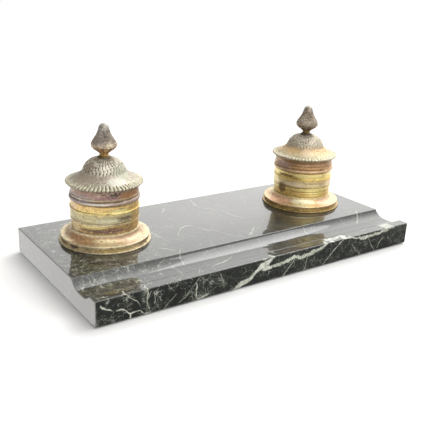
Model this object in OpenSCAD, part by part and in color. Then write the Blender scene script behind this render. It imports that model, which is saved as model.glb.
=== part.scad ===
// Desk inkstand: a marble slab with a pen groove and two turned inkwells bolted through it.
// The desk is at z = 0, x runs along the slab, and the groove is near the front edge, at -y.

/* [Marble slab] */
// Length of the slab
slab_length = 300; // [260:1:400]
// Depth of the slab from front to back
slab_depth = 144; // [134:1:200]
// Thickness of the slab
slab_thickness = 20; // [17:0.5:30]
// Radius of the slab's four upright corners
corner_radius = 1.5; // [0.5:0.1:6]

/* [Pen groove] */
// Radius of the groove's two curved sides
groove_radius = 14; // [9:0.5:18]
// Depth of the groove below the slab's top
groove_depth = 6; // [4:0.25:7]
// Width of the groove's flat floor
groove_flat = 6.5; // [3:0.5:12]
// Width of the lip in front of the groove
lip_width = 8.7; // [5:0.1:13]
// Drop of the lip below the slab's top
lip_drop = 1.4; // [0.2:0.1:3]

/* [Baize lining] */
// Thickness of the baize under the slab
baize_thickness = 1; // [0.5:0.1:3]
// Margin between the baize and the slab's edge
baize_margin = 3; // [1:0.5:10]

/* [Places of the wells] */
// Left well's axis, from the slab's left end
left_well_inset = 52; // [38:1:70]
// Left well's axis, from the slab's back edge
left_well_setback = 51; // [38:1:58]
// Right well's axis, from the slab's right end
right_well_inset = 48; // [38:1:70]
// Right well's axis, from the slab's back edge
right_well_setback = 55; // [38:1:58]

/* [Foot ring] */
// Radius of the foot ring at its lower bead
foot_radius = 35.7; // [33:0.1:37]
// Height of the foot ring, from the slab to the barrel
foot_height = 11.2; // [10:0.1:16]
// Height of the upper bead's middle above the slab
rim_height = 4.9; // [3.4:0.1:6]
// How far the upper bead is set back from the lower one
rim_setback = 1.3; // [0.3:0.1:3]
// Height of each bead
edge_bead = 1.3; // [0.8:0.1:2]
// How far each bead stands out of the band between them
edge_bead_proud = 0.7; // [0.3:0.1:1.2]
// Width of the ledge that the barrel's fillet leaves on the foot ring
foot_fillet = 0.5; // [0.2:0.1:1.5]
// Height of the upstand inside the barrel
upstand_height = 3; // [2:0.5:6]
// Wall of the upstand
upstand_wall = 2.5; // [1.5:0.1:3.5]

/* [Barrel] */
// Outer radius of the barrel
barrel_radius = 25.8; // [24:0.1:28]
// Wall of the barrel
barrel_wall = 1.5; // [1:0.1:2.2]
// Height of the barrel between the foot ring and the collar
barrel_height = 22.4; // [20:0.1:36]
// Height of the raised belt's lower edge above the barrel's foot
belt_place = 8.8; // [7.8:0.1:10]
// Height of the raised belt
belt_height = 8.2; // [5:0.1:9]
// How far the belt stands out
belt_proud = 0.5; // [0.2:0.1:1]
// How far the ridge on the belt's top edge stands out of the belt
ridge_proud = 0.5; // [0.1:0.1:0.6]
// Height of the ridge on the belt's top edge, and of the fine line below the belt
ridge_height = 0.8; // [0.5:0.1:1]

/* [Collar] */
// Height of the collar above the barrel
collar_height = 11.4; // [10:0.1:18]
// Height of the bead at the collar's foot
collar_bead = 3.4; // [2:0.1:4]
// How far that bead stands out
collar_bead_proud = 1.3; // [0.5:0.1:1.7]
// Wall of the collar at its mouth
collar_wall = 1.8; // [1.2:0.1:2.5]
// Depth of the liner's ledge below the collar's mouth
ledge_depth = 5; // [4:0.1:6]
// Width of the liner's ledge
ledge_width = 1.7; // [1:0.1:2.5]
// Depth of the collar's spigot inside the barrel
collar_spigot = 3; // [2:0.5:5]

/* [Liner] */
// Thickness of the liner's rim
liner_rim = 2; // [1.2:0.1:3]
// Wall and floor of the liner
liner_wall = 3; // [2:0.1:5]
// Gap between the liner's underside and the bolt's head
liner_gap = 1; // [0.5:0.1:4]

/* [Lid] */
// How far the lid's flange reaches past the barrel
flange_reach = 3.8; // [2:0.1:5]
// Thickness of the flange at its edge
flange_edge = 1.6; // [1:0.1:2.5]
// Radius where the flare meets the dome
shoulder_radius = 17; // [15:0.1:18]
// Height of that shoulder above the collar's mouth
shoulder_height = 9.3; // [8:0.1:14]
// Height of the dome above the shoulder
dome_rise = 10.3; // [8:0.1:14]
// Wall of the lid
lid_wall = 1.8; // [1.2:0.1:2.4]
// Thickness of the lid's crown under the finial
crown_thickness = 2.4; // [1.5:0.1:4]
// Wall of the lid's locating ring
lid_ring_wall = 1.5; // [1:0.1:2.5]
// Gap between the locating ring and the liner's rim
lid_ring_gap = 0.3; // [0.3:0.1:1]

/* [Finial] */
// Radius of the finial's seat on the crown
finial_seat = 5.2; // [4.4:0.1:6]
// Radius of the finial's neck
neck_radius = 3.1; // [2.4:0.1:4]
// Height of the neck's top above the crown
neck_height = 2.7; // [2:0.1:4]
// Largest radius of the bud
bud_radius = 9.8; // [7:0.1:12]
// Height of the bud's widest part above the crown
bud_height = 9.7; // [8:0.1:12]
// Height of the finial above the crown
finial_height = 25.7; // [22:0.1:34]
// Radius of the finial's threaded stem
stem_radius = 2; // [1.5:0.1:2.2]
// Width across the flats of the finial's nut
finial_nut_flats = 7; // [6:0.1:8]
// Height of the finial's nut
finial_nut_height = 3.2; // [2:0.1:5]

/* [Fixings] */
// Radius of the fixing bolt's shank
bolt_radius = 2.5; // [2:0.1:3]
// Radius of the bolt's head
bolt_head_radius = 4.5; // [4:0.1:6]
// Height of the bolt's head
bolt_head_height = 2.4; // [1.5:0.1:4]
// Thickness of the floor plate under the bolt's head
plate_thickness = 3; // [2:0.1:4]
// Width of the ledge that carries the floor plate
plate_ledge = 5; // [3:0.1:8]
// Radius of the washer
washer_radius = 7; // [6:0.1:7.8]
// Thickness of the washer
washer_thickness = 1; // [0.5:0.1:2]
// Width across the flats of the fixing nut
nut_flats = 8; // [7.5:0.1:10]
// Height of the fixing nut
nut_height = 4; // [3:0.1:4.5]
// Radius of the recess under the slab
recess_radius = 8.5; // [8:0.1:12]
// Depth of the recess under the slab
recess_depth = 9; // [8:0.1:11]
// Length of thread left showing past a nut
thread_end = 1.2; // [0.5:0.1:1.5]

/* [Fits] */
// Radial gap of a soldered or pushed-in joint
joint_gap = 0.05; // [0.02:0.01:0.1]
// Radial gap around what lifts out or off
lift_gap = 0.4; // [0.3:0.05:0.8]
// Radial gap around a shank in its hole
hole_gap = 0.4; // [0.2:0.05:1]

/* [Hidden] */
$fn = 96;
// Height of the slab's top above the desk
slab_top = baize_thickness + slab_thickness;
left_well = [-slab_length / 2 + left_well_inset, slab_depth / 2 - left_well_setback];
right_well = [slab_length / 2 - right_well_inset, slab_depth / 2 - right_well_setback];

// How far a curved side of the groove reaches outwards by the time it has risen this much
function side_reach(rise) = sqrt(groove_radius ^ 2 - (groove_radius - rise) ^ 2);
groove_front = -slab_depth / 2 + lip_width + side_reach(groove_depth - lip_drop);
groove_back = groove_front + groove_flat;

// Heights below are above the slab's top, and radii are from the well's axis
barrel_bore = barrel_radius - barrel_wall;
upstand_radius = barrel_bore - joint_gap;
plate_radius = upstand_radius - upstand_wall - joint_gap;
foot_bore = plate_radius - plate_ledge;
plate_seat = foot_height + upstand_height - 2 * joint_gap - plate_thickness - bolt_head_height / 2;
plate_top = plate_seat + plate_thickness;
bolt_head_top = plate_top + bolt_head_height;
collar_seat = foot_height + barrel_height;
collar_top = collar_seat + collar_height;
ledge_height = collar_top - ledge_depth;
collar_bore = barrel_radius - collar_wall;
ledge_bore = collar_bore - ledge_width;
liner_foot = bolt_head_top + liner_gap;
liner_radius = ledge_bore - lift_gap;
liner_bore = liner_radius - liner_wall;
rim_radius = collar_bore - lift_gap;
lid_bore = rim_radius - lid_ring_wall;
lid_ring_depth = ledge_depth - liner_rim - lid_ring_gap;
flange_radius = barrel_radius + flange_reach;
crown_height = shoulder_height + dome_rise;
crown_top = collar_top + crown_height;
crown_under = crown_height - crown_thickness;
// Radius of the flat under the crown that the finial's nut bears on
crown_flat = finial_nut_flats / 2 / cos(30) + 2.5;
// Radius that the liner's foot is rounded to
liner_foot_round = 2;
// Thickness of the finial's seat at its edge
seat_edge = 0.5;
recess_top = baize_thickness + recess_depth;

// Points of a smooth curve from a to d, leaving towards b and arriving from c
function curve(a, b, c, d, steps = 10) = [
  for (i = [0:steps]) let (t = i / steps)
    (1 - t) ^ 3 * a + 3 * t * (1 - t) ^ 2 * b + 3 * t ^ 2 * (1 - t) * c + t ^ 3 * d
];

// Points of a rounded bead on an upright wall, from its foot up
function bead(radius, foot, height, proud, steps = 8) =
  let (bend = (height ^ 2 / 4 + proud ^ 2) / (2 * proud), half = asin(height / 2 / bend))
  let (turn = proud > height / 2 ? 180 - half : half)
  [for (i = [0:steps]) let (a = turn * (2 * i / steps - 1))
    [radius + proud - bend + bend * cos(a), foot + height / 2 + bend * sin(a)]];

// Points of a flat raised band on an upright wall, from its foot up
function band(radius, foot, height, proud) = [
  [radius, foot], [radius + proud, foot], [radius + proud, foot + height], [radius, foot + height]
];

module left() translate([left_well.x, left_well.y, slab_top]) children();
module right() translate([right_well.x, right_well.y, slab_top]) children();
module turned(outline) rotate_extrude() polygon(outline);

module rounded_block(length, depth, height, radius) {
  translate([-length / 2 + radius, -depth / 2, 0]) cube([length - 2 * radius, depth, height]);
  translate([-length / 2, -depth / 2 + radius, 0]) cube([length, depth - 2 * radius, height]);
  for (x = [-1, 1], y = [-1, 1])
    translate([x * (length / 2 - radius), y * (depth / 2 - radius), 0]) cylinder(r = radius, h = height);
}

module groove_cut() {
  floor_height = slab_top - groove_depth;
  cut_length = slab_length + 2;
  intersection() {
    union() {
      for (y = [groove_front, groove_back])
        translate([-cut_length / 2, y, floor_height + groove_radius]) rotate([0, 90, 0])
          cylinder(r = groove_radius, h = cut_length);
      translate([-cut_length / 2, groove_front, floor_height])
        cube([cut_length, groove_flat, 2 * groove_radius]);
    }
    translate([-cut_length / 2, -slab_depth, floor_height - 1])
      cube([cut_length, 2 * slab_depth, groove_depth + 2]);
  }
  translate([-cut_length / 2, -slab_depth / 2 - 1, slab_top - lip_drop])
    cube([cut_length, groove_front + slab_depth / 2 + 1, lip_drop + 1]);
}

module bolt_cut(well) {
  translate([well.x, well.y, 0]) {
    cylinder(r = bolt_radius + hole_gap, h = slab_top + 1);
    cylinder(r = recess_radius, h = recess_top);
  }
}

module marble_slab() color([0.24, 0.28, 0.25]) difference() {
  translate([0, 0, baize_thickness])
    rounded_block(slab_length, slab_depth, slab_thickness, corner_radius);
  groove_cut();
  bolt_cut(left_well);
  bolt_cut(right_well);
}

module baize_lining() {
  length = slab_length - 2 * baize_margin;
  depth = slab_depth - 2 * baize_margin;
  color([0.12, 0.3, 0.2]) rounded_block(length, depth, baize_thickness, corner_radius);
}

module foot_ring() {
  band_radius = foot_radius - rim_setback - edge_bead_proud;
  fillet_radius = barrel_radius + foot_fillet;
  // The flare sweeps in from the upper bead and turns up to the fillet
  flare_foot = [band_radius, rim_height + edge_bead / 2];
  flare_top = [fillet_radius, foot_height - foot_fillet];
  flare_corner = [fillet_radius, flare_foot.y];
  flare_leave = flare_corner + [0.4 * (band_radius - fillet_radius), 0];
  flare_arrive = flare_corner + [0, 0.3 * (flare_top.y - flare_foot.y)];
  color([0.72, 0.58, 0.42]) turned(concat(
    [[foot_bore, 0]],
    bead(foot_radius - edge_bead_proud, 0, edge_bead, edge_bead_proud),
    [[band_radius, edge_bead + rim_setback / 4]],
    bead(band_radius, rim_height - edge_bead / 2, edge_bead, edge_bead_proud),
    curve(flare_foot, flare_leave, flare_arrive, flare_top),
    [[fillet_radius, foot_height], [upstand_radius, foot_height]],
    [[upstand_radius, foot_height + upstand_height]],
    [[plate_radius + joint_gap, foot_height + upstand_height], [plate_radius + joint_gap, plate_seat]],
    [[foot_bore, plate_seat]]
  ));
}

module floor_plate() color([0.62, 0.54, 0.33]) turned([
  [bolt_radius + hole_gap, plate_seat], [plate_radius, plate_seat],
  [plate_radius, plate_top], [bolt_radius + hole_gap, plate_top]
]);

module fixing_bolt() {
  length = plate_top + slab_top - recess_top + washer_thickness + nut_height + thread_end;
  color([0.5, 0.5, 0.48]) {
    translate([0, 0, plate_top - length]) cylinder(r = bolt_radius, h = length);
    translate([0, 0, plate_top]) cylinder(r = bolt_head_radius, h = bolt_head_height);
  }
}

module fixing_washer() color([0.55, 0.55, 0.53])
  translate([0, 0, recess_top - slab_top - washer_thickness]) difference() {
    cylinder(r = washer_radius, h = washer_thickness);
    translate([0, 0, -1]) cylinder(r = bolt_radius + hole_gap, h = washer_thickness + 2);
  }

module nut(flats, height, bore) difference() {
  cylinder(r = flats / 2 / cos(30), h = height, $fn = 6);
  translate([0, 0, -1]) cylinder(r = bore, h = height + 2);
}

module fixing_nut() color([0.5, 0.5, 0.48])
  translate([0, 0, recess_top - slab_top - washer_thickness - nut_height])
    nut(nut_flats, nut_height, bolt_radius + joint_gap);

module barrel() color([0.78, 0.66, 0.36]) translate([0, 0, foot_height]) turned(concat(
  [[barrel_bore, 0], [barrel_radius, 0]],
  band(barrel_radius, belt_place - 2 * ridge_height, ridge_height, ridge_proud),
  [[barrel_radius, belt_place], [barrel_radius + belt_proud, belt_place]],
  bead(barrel_radius + belt_proud, belt_place + belt_height - ridge_height, ridge_height, ridge_proud),
  [[barrel_radius, belt_place + belt_height]],
  [[barrel_radius, barrel_height], [barrel_bore, barrel_height]]
));

module collar() color([0.5, 0.42, 0.38]) translate([0, 0, collar_seat]) turned(concat(
  [[barrel_bore - joint_gap, -collar_spigot], [barrel_bore - joint_gap, 0]],
  bead(barrel_radius, 0, collar_bead, collar_bead_proud),
  band(barrel_radius, collar_bead + 1, ridge_height, ridge_proud),
  [[barrel_radius, collar_height], [collar_bore, collar_height]],
  [[collar_bore, collar_height - ledge_depth], [ledge_bore, collar_height - ledge_depth]],
  [[ledge_bore, -collar_spigot]]
));

module liner() {
  // The foot is rounded outside and in about these two centres
  outer_centre = [liner_radius - liner_foot_round, liner_foot + liner_foot_round];
  inner_centre = [liner_bore - liner_foot_round, liner_foot + liner_wall + liner_foot_round];
  color([0.93, 0.93, 0.9]) turned(concat(
    [[0, liner_foot], [outer_centre.x, liner_foot]],
    [for (a = [-75:15:0]) outer_centre + liner_foot_round * [cos(a), sin(a)]],
    [[liner_radius, ledge_height], [rim_radius, ledge_height]],
    [[rim_radius, ledge_height + liner_rim], [liner_bore, ledge_height + liner_rim]],
    [[liner_bore, inner_centre.y]],
    [for (a = [-15:-15:-90]) inner_centre + liner_foot_round * [cos(a), sin(a)]],
    [[0, liner_foot + liner_wall]]
  ));
}

module lid() {
  fall = flange_radius - shoulder_radius;
  flare_drop = shoulder_height - flange_edge;
  dome_reach = shoulder_radius - finial_seat;
  inner_shoulder = [shoulder_radius - lid_wall, shoulder_height - lid_wall / 2];
  // The curves leave towards and arrive from these points
  flare_leave = [flange_radius - 0.36 * fall, flange_edge + 0.22 * flare_drop];
  flare_arrive = [shoulder_radius + 0.24 * fall, shoulder_height - 0.44 * flare_drop];
  dome_leave = [shoulder_radius - 0.15 * dome_reach, shoulder_height + 0.63 * dome_rise];
  dome_arrive = [finial_seat + 0.46 * dome_reach, crown_height - 0.03 * dome_rise];
  roof_leave = [crown_flat + 0.4 * (inner_shoulder.x - crown_flat), crown_under];
  roof_arrive = inner_shoulder + [-0.5, 0.6 * (crown_under - inner_shoulder.y)];
  skirt_leave = inner_shoulder + [1.2, -2.4];
  skirt_arrive = [lid_bore - 2.4, flange_edge + 1.4];
  color([0.56, 0.55, 0.46]) translate([0, 0, collar_top]) turned(concat(
    [[lid_bore, 0], [flange_radius, 0]],
    curve([flange_radius, flange_edge], flare_leave, flare_arrive, [shoulder_radius, shoulder_height]),
    curve([shoulder_radius, shoulder_height], dome_leave, dome_arrive, [finial_seat, crown_height]),
    [[stem_radius + hole_gap, crown_height], [stem_radius + hole_gap, crown_under]],
    [[crown_flat, crown_under]],
    curve([crown_flat, crown_under], roof_leave, roof_arrive, inner_shoulder),
    curve(inner_shoulder, skirt_leave, skirt_arrive, [lid_bore, flange_edge])
  ));
}

module lid_ring() color([0.62, 0.54, 0.33]) translate([0, 0, collar_top - lid_ring_depth]) difference() {
  cylinder(r = rim_radius, h = lid_ring_depth);
  translate([0, 0, -1]) cylinder(r = lid_bore, h = lid_ring_depth + 2);
}

module finial() {
  neck = [neck_radius, neck_height - 0.4];
  widest = [bud_radius, bud_height];
  tip_foot = [0.43 * bud_radius, 0.82 * finial_height];
  lower_rise = bud_height - neck_height;
  upper_rise = tip_foot.y - bud_height;
  tip_rise = finial_height - tip_foot.y;
  // The curves leave towards and arrive from these points
  neck_leave = [neck_radius + 1.1, neck_height + 0.35 * lower_rise];
  tip_arrive = tip_foot + [1.2, -0.44 * upper_rise];
  cap_leave = [0.86 * tip_foot.x, tip_foot.y + 0.45 * tip_rise];
  cap_arrive = [0.57 * tip_foot.x, finial_height - 0.14 * tip_rise];
  stem_length = crown_thickness + finial_nut_height + thread_end;
  color([0.5, 0.46, 0.4]) translate([0, 0, crown_top]) turned(concat(
    [[0, -stem_length], [stem_radius, -stem_length], [stem_radius, 0], [finial_seat, 0]],
    [[finial_seat, seat_edge], [neck_radius + 1, seat_edge + 0.4]],
    curve(neck, neck_leave, widest - [0, 0.5 * lower_rise], widest),
    curve(widest, widest + [0, 0.3 * upper_rise], tip_arrive, tip_foot),
    curve(tip_foot, cap_leave, cap_arrive, [0, finial_height])
  ));
}

module finial_nut() color([0.62, 0.54, 0.33])
  translate([0, 0, crown_top - crown_thickness - finial_nut_height])
    nut(finial_nut_flats, finial_nut_height, stem_radius + joint_gap);

marble_slab();
baize_lining();

left() foot_ring();  // left_foot_ring
left() floor_plate();  // left_floor_plate
left() fixing_bolt();  // left_fixing_bolt
left() fixing_washer();  // left_fixing_washer
left() fixing_nut();  // left_fixing_nut
left() barrel();  // left_barrel
left() collar();  // left_collar
left() liner();  // left_liner
left() lid();  // left_lid
left() lid_ring();  // left_lid_ring
left() finial();  // left_finial
left() finial_nut();  // left_finial_nut

right() foot_ring();  // right_foot_ring
right() floor_plate();  // right_floor_plate
right() fixing_bolt();  // right_fixing_bolt
right() fixing_washer();  // right_fixing_washer
right() fixing_nut();  // right_fixing_nut
right() barrel();  // right_barrel
right() collar();  // right_collar
right() liner();  // right_liner
right() lid();  // right_lid
right() lid_ring();  // right_lid_ring
right() finial();  // right_finial
right() finial_nut();  // right_finial_nut
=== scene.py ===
"""A desk inkstand: a polished marble slab with a pen groove, and two inkwells of gilt and aged brass.

Every sub-assembly is a class that builds its meshes in place and dresses them. Places and overall
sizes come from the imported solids. Sizes inside a class are in millimetres, and heights in a well are
measured up from the slab's top.
"""

import logging
import random
from collections.abc import Callable, Sequence
from dataclasses import dataclass
from enum import Enum
from math import asin, cos, floor, pi, radians, sin, sqrt, tau
from typing import Any

import bmesh
import bpy
from mathutils import Matrix, Vector


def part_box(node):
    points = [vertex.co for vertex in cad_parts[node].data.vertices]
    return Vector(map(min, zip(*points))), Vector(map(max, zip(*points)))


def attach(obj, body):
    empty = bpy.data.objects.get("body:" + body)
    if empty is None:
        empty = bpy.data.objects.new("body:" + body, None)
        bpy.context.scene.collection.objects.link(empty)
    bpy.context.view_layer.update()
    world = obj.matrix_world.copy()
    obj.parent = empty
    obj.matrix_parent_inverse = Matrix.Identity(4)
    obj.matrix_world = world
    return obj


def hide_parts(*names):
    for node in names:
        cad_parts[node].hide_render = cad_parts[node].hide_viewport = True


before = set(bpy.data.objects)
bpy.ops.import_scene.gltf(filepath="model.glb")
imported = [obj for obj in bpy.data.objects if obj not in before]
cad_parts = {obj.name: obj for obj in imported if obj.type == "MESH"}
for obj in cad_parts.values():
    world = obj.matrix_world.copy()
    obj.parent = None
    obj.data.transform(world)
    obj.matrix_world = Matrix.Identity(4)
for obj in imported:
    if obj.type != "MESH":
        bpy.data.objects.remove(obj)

MM = 0.001
log = logging.getLogger("inkstand")

Point = tuple[float, float]
Colour = tuple[float, float, float, float]
Stop = tuple[float, int]
WHITE: Colour = (1.0, 1.0, 1.0, 1.0)


# --- Shader expressions ---


def srgb(code: int) -> Colour:
    """A screen colour in the linear values that a shader takes.

    Args:
        code: The screen colour, as 0xRRGGBB.

    Returns:
        The linear colour with an alpha of 1.
    """
    low_end, slope, offset, power = 0.04045, 12.92, 0.055, 2.4
    parts = [(code >> shift & 0xFF) / 255 for shift in (16, 8, 0)]
    linear = [c / slope if c <= low_end else ((c + offset) / (1 + offset)) ** power for c in parts]
    return (linear[0], linear[1], linear[2], 1.0)


class Signal:
    """A shader socket that takes part in Python expressions: each operation adds a Math node."""

    def __init__(self, shader: "Shader", socket: bpy.types.NodeSocket | None) -> None:
        """Keeps the shader that new nodes are added to, and the output socket, or None for a closing node."""
        self.shader = shader
        self.socket = socket

    def _math(self, operation: str, *values: Any, clamp: bool = False) -> "Signal":
        """Adds a Math node for the values, and keeps its result from 0 to 1 if clamp is set."""
        settings = {"operation": operation, "use_clamp": clamp}
        return self.shader.node("ShaderNodeMath", settings, dict(enumerate(values)))

    def __add__(self, other: Any) -> "Signal":
        """Sum of two values."""
        return self._math("ADD", self, other)

    def __sub__(self, other: Any) -> "Signal":
        """Difference of two values."""
        return self._math("SUBTRACT", self, other)

    def __rsub__(self, other: Any) -> "Signal":
        """Difference with this value taken away."""
        return self._math("SUBTRACT", other, self)

    def __mul__(self, other: Any) -> "Signal":
        """Product of two values."""
        return self._math("MULTIPLY", self, other)

    def __truediv__(self, other: Any) -> "Signal":
        """Quotient of two values."""
        return self._math("DIVIDE", self, other)

    def __pow__(self, other: Any) -> "Signal":
        """This value raised to a power."""
        return self._math("POWER", self, other)

    __radd__ = __add__
    __rmul__ = __mul__

    def most(self, other: Any) -> "Signal":
        """The larger of two values."""
        return self._math("MAXIMUM", self, other)

    def size(self) -> "Signal":
        """The value without its sign."""
        return self._math("ABSOLUTE", self)

    def clamped(self) -> "Signal":
        """The value kept from 0 to 1."""
        return self._math("ADD", self, 0.0, clamp=True)

    def step(self, low: Any, high: Any) -> "Signal":
        """A soft step that is 0 at low and 1 at high, or the other way round if low is larger."""
        inputs = {"Value": self, "From Min": low, "From Max": high}
        return self.shader.node("ShaderNodeMapRange", {"interpolation_type": "SMOOTHSTEP"}, inputs)

    def share(self, low: float, high: float) -> "Signal":
        """How far the value has come from low, 0, to high, 1."""
        inputs = {"Value": self, "From Min": low, "From Max": high}
        return self.shader.node("ShaderNodeMapRange", inputs=inputs)

    def output(self, name: str) -> "Signal":
        """Another output of the same node, by its name."""
        return Signal(self.shader, Shader.find(self.socket.node.outputs, name))


class Shader:
    """A node material under construction."""

    def __init__(self, name: str) -> None:
        """Starts an empty material.

        Args:
            name: The material's name.
        """
        self.material = bpy.data.materials.new(name)
        self.material.use_nodes = True
        self.tree = self.material.node_tree
        self.tree.nodes.clear()

    @classmethod
    def of_tree(cls, tree: bpy.types.NodeTree) -> "Shader":
        """A shader that fills a tree which is there already.

        Args:
            tree: The tree, which is emptied.

        Returns:
            The shader.
        """
        shader = cls.__new__(cls)
        shader.tree = tree
        tree.nodes.clear()
        return shader

    @staticmethod
    def find(sockets: Any, key: int | str) -> bpy.types.NodeSocket:
        """A socket by its number, identifier or name.

        Args:
            sockets: A node's inputs or outputs.
            key: The number, identifier or name.

        Returns:
            The socket.
        """
        if isinstance(key, int):
            return sockets[key]
        matches = [s for s in sockets if s.identifier == key] or [s for s in sockets if s.name == key]
        return matches[0]

    def node(
        self,
        kind: str,
        settings: dict[str, Any] | None = None,
        inputs: dict[int | str, Any] | None = None,
        output: int | str = 0,
    ) -> Signal:
        """Adds a node of any type.

        Args:
            kind: The node's type.
            settings: Its properties, set first. "stops" fills a ramp and "points" a curve.
            inputs: Values or signals for its sockets.
            output: The output to return.

        Returns:
            The chosen output.
        """
        made = self.tree.nodes.new(kind)
        for name, value in (settings or {}).items():
            if name == "stops":
                self._fill_ramp(made.color_ramp, value)
            elif name == "points":
                self._fill_curve(made.mapping, value)
            else:
                setattr(made, name, value)
        for key, value in (inputs or {}).items():
            socket = self.find(made.inputs, key)
            if isinstance(value, Signal):
                self.tree.links.new(value.socket, socket)
            else:
                socket.default_value = value
        return Signal(self, self.find(made.outputs, output) if made.outputs else None)

    @staticmethod
    def _fill_ramp(ramp: bpy.types.ColorRamp, stops: Sequence[tuple[float, Colour]]) -> None:
        """Sets a colour ramp's stops.

        Args:
            ramp: The ramp.
            stops: Positions from 0 to 1 with their colours, in order.
        """
        while len(ramp.elements) < len(stops):
            ramp.elements.new(1.0)
        for element, (position, colour) in zip(ramp.elements, stops):
            element.position = position
            element.color = colour

    @staticmethod
    def _fill_curve(mapping: bpy.types.CurveMapping, points: Sequence[Point]) -> None:
        """Sets a curve's points.

        Args:
            mapping: The curve's node mapping.
            points: Its points, from 0 to 1 both ways, in rising order.
        """
        line = mapping.curves[0]
        line.points[0].location = points[0]
        line.points[1].location = points[-1]
        for point in points[1:-1]:
            line.points.new(*point)
        mapping.update()

    def mix(self, factor: Any, base: Any, top: Any, blend: str = "MIX") -> Signal:
        """Blends two colours.

        Args:
            factor: How much of the top colour shows.
            base: The colour below.
            top: The colour above.
            blend: The Mix node's blend type.

        Returns:
            The blended colour.
        """
        settings = {"data_type": "RGBA", "blend_type": blend}
        inputs = {"Factor_Float": factor, "A_Color": base, "B_Color": top}
        return self.node("ShaderNodeMix", settings, inputs, "Result_Color")

    def vector(self, operation: str, *values: Any, scale: float = 1.0, output: str = "Vector") -> Signal:
        """Adds a Vector Math node.

        Args:
            operation: The node's operation.
            values: Its vector inputs in order.
            scale: The factor of a SCALE operation.
            output: "Vector", or "Value" for a length or a dot product.

        Returns:
            The node's result.
        """
        inputs: dict[int | str, Any] = dict(enumerate(values))
        if operation == "SCALE":
            inputs["Scale"] = scale
        return self.node("ShaderNodeVectorMath", {"operation": operation}, inputs, output)

    def millimetres(self) -> Signal:
        """The surface point in its piece's own frame, in millimetres."""
        point = self.node("ShaderNodeTexCoord", output="Object")
        return self.vector("SCALE", point, scale=1 / MM)

    def axes(self, point: Signal) -> tuple[Signal, Signal, Signal]:
        """The x, y and z of a point."""
        split = self.node("ShaderNodeSeparateXYZ", inputs={0: point})
        return split, split.output("Y"), split.output("Z")

    def noise(self, point: Signal, grain: float, detail: float = 3.0, roughness: float = 0.55) -> Signal:
        """Cloudy noise around 0.5.

        Args:
            point: Where the noise is read, in millimetres.
            grain: The size of its clouds, in millimetres.
            detail: How many finer layers it has.
            roughness: How strong those layers are.

        Returns:
            The noise's value.
        """
        inputs = {"Vector": point, "Scale": 1 / grain, "Detail": detail, "Roughness": roughness}
        return self.node("ShaderNodeTexNoise", inputs=inputs)

    def wander(
        self, point: Signal, grain: float, detail: float, reach: float, roughness: float = 0.55
    ) -> Signal:
        """Shifts a point by a noise.

        Args:
            point: The point, in millimetres.
            grain: The size of the noise's clouds, in millimetres.
            detail: How many finer layers it has.
            reach: The noise's whole span, in millimetres.
            roughness: How strong the finer layers are.

        Returns:
            The shift, half of the reach either way at most.
        """
        colour = self.noise(point, grain, detail, roughness).output("Color")
        return self.vector("SCALE", self.vector("SUBTRACT", colour, (0.5, 0.5, 0.5)), scale=reach)

    def cell_edge(self, point: Signal, scale: float) -> Signal:
        """The distance to the nearest edge in a net of random cells, as a share of a cell."""
        inputs = {"Vector": point, "Scale": scale}
        return self.node("ShaderNodeTexVoronoi", {"feature": "DISTANCE_TO_EDGE"}, inputs)

    def glow(self, strength: Any) -> Signal:
        """A white light of its own."""
        return self.node("ShaderNodeEmission", inputs={"Color": WHITE, "Strength": strength})

    def matt(self, albedo: float) -> Signal:
        """A dull grey surface."""
        return self.node("ShaderNodeBsdfDiffuse", inputs={"Color": (albedo, albedo, albedo, 1)})

    def ramp(self, value: Signal, stops: Sequence[Stop]) -> Signal:
        """A colour that follows a value.

        Args:
            value: The value, in the same unit as the stops' positions.
            stops: Positions, in rising order, with their screen colours.

        Returns:
            The colour.
        """
        low, high = stops[0][0], stops[-1][0]
        shares = [((place - low) / (high - low), srgb(code)) for place, code in stops]
        return self.node("ShaderNodeValToRGB", {"stops": shares}, {"Fac": (value - low) / (high - low)})

    def plot(self, value: Signal, points: Sequence[Point]) -> Signal:
        """A smooth curve through points.

        Args:
            value: The place along the curve, from 0 to 1.
            points: The curve's points in rising order.

        Returns:
            The curve's height.
        """
        low, high = min(y for _, y in points), max(y for _, y in points)
        span = (high - low) or 1.0
        level = [(x, (y - low) / span) for x, y in points]
        height = self.node("ShaderNodeFloatCurve", {"points": level}, {"Value": value})
        return height * span + low

    def bump(self, height: Signal, depth: float, strength: float = 1.0) -> Signal:
        """A normal that follows a height, where 1 stands for a depth in millimetres."""
        inputs = {"Height": height, "Distance": depth * MM, "Strength": strength}
        return self.node("ShaderNodeBump", inputs=inputs)

    def surface(self, **sockets: Any) -> bpy.types.Material:
        """Closes the material with a Principled shader.

        Args:
            sockets: The shader's sockets, with underscores for the spaces in their names.

        Returns:
            The finished material.
        """
        inputs = {name.replace("_", " "): value for name, value in sockets.items()}
        shader = self.node("ShaderNodeBsdfPrincipled", inputs=inputs)
        self.node("ShaderNodeOutputMaterial", inputs={"Surface": shader})
        return self.material


# --- Mesh helpers ---


def curve(start: Point, leave: Point, arrive: Point, end: Point, steps: int = 12) -> list[Point]:
    """Points of a smooth curve that leaves start towards one point and reaches end from another.

    Args:
        start: The first point.
        leave: The point it leaves towards.
        arrive: The point it arrives from.
        end: The last point.
        steps: The number of stretches.

    Returns:
        The points, both ends included.
    """
    points = []
    for step in range(steps + 1):
        t = step / steps
        parts = ((1 - t) ** 3, 3 * t * (1 - t) ** 2, 3 * t**2 * (1 - t), t**3)
        corners = (start, leave, arrive, end)
        points.append(tuple(sum(p * c[axis] for p, c in zip(parts, corners)) for axis in (0, 1)))
    return points


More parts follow.
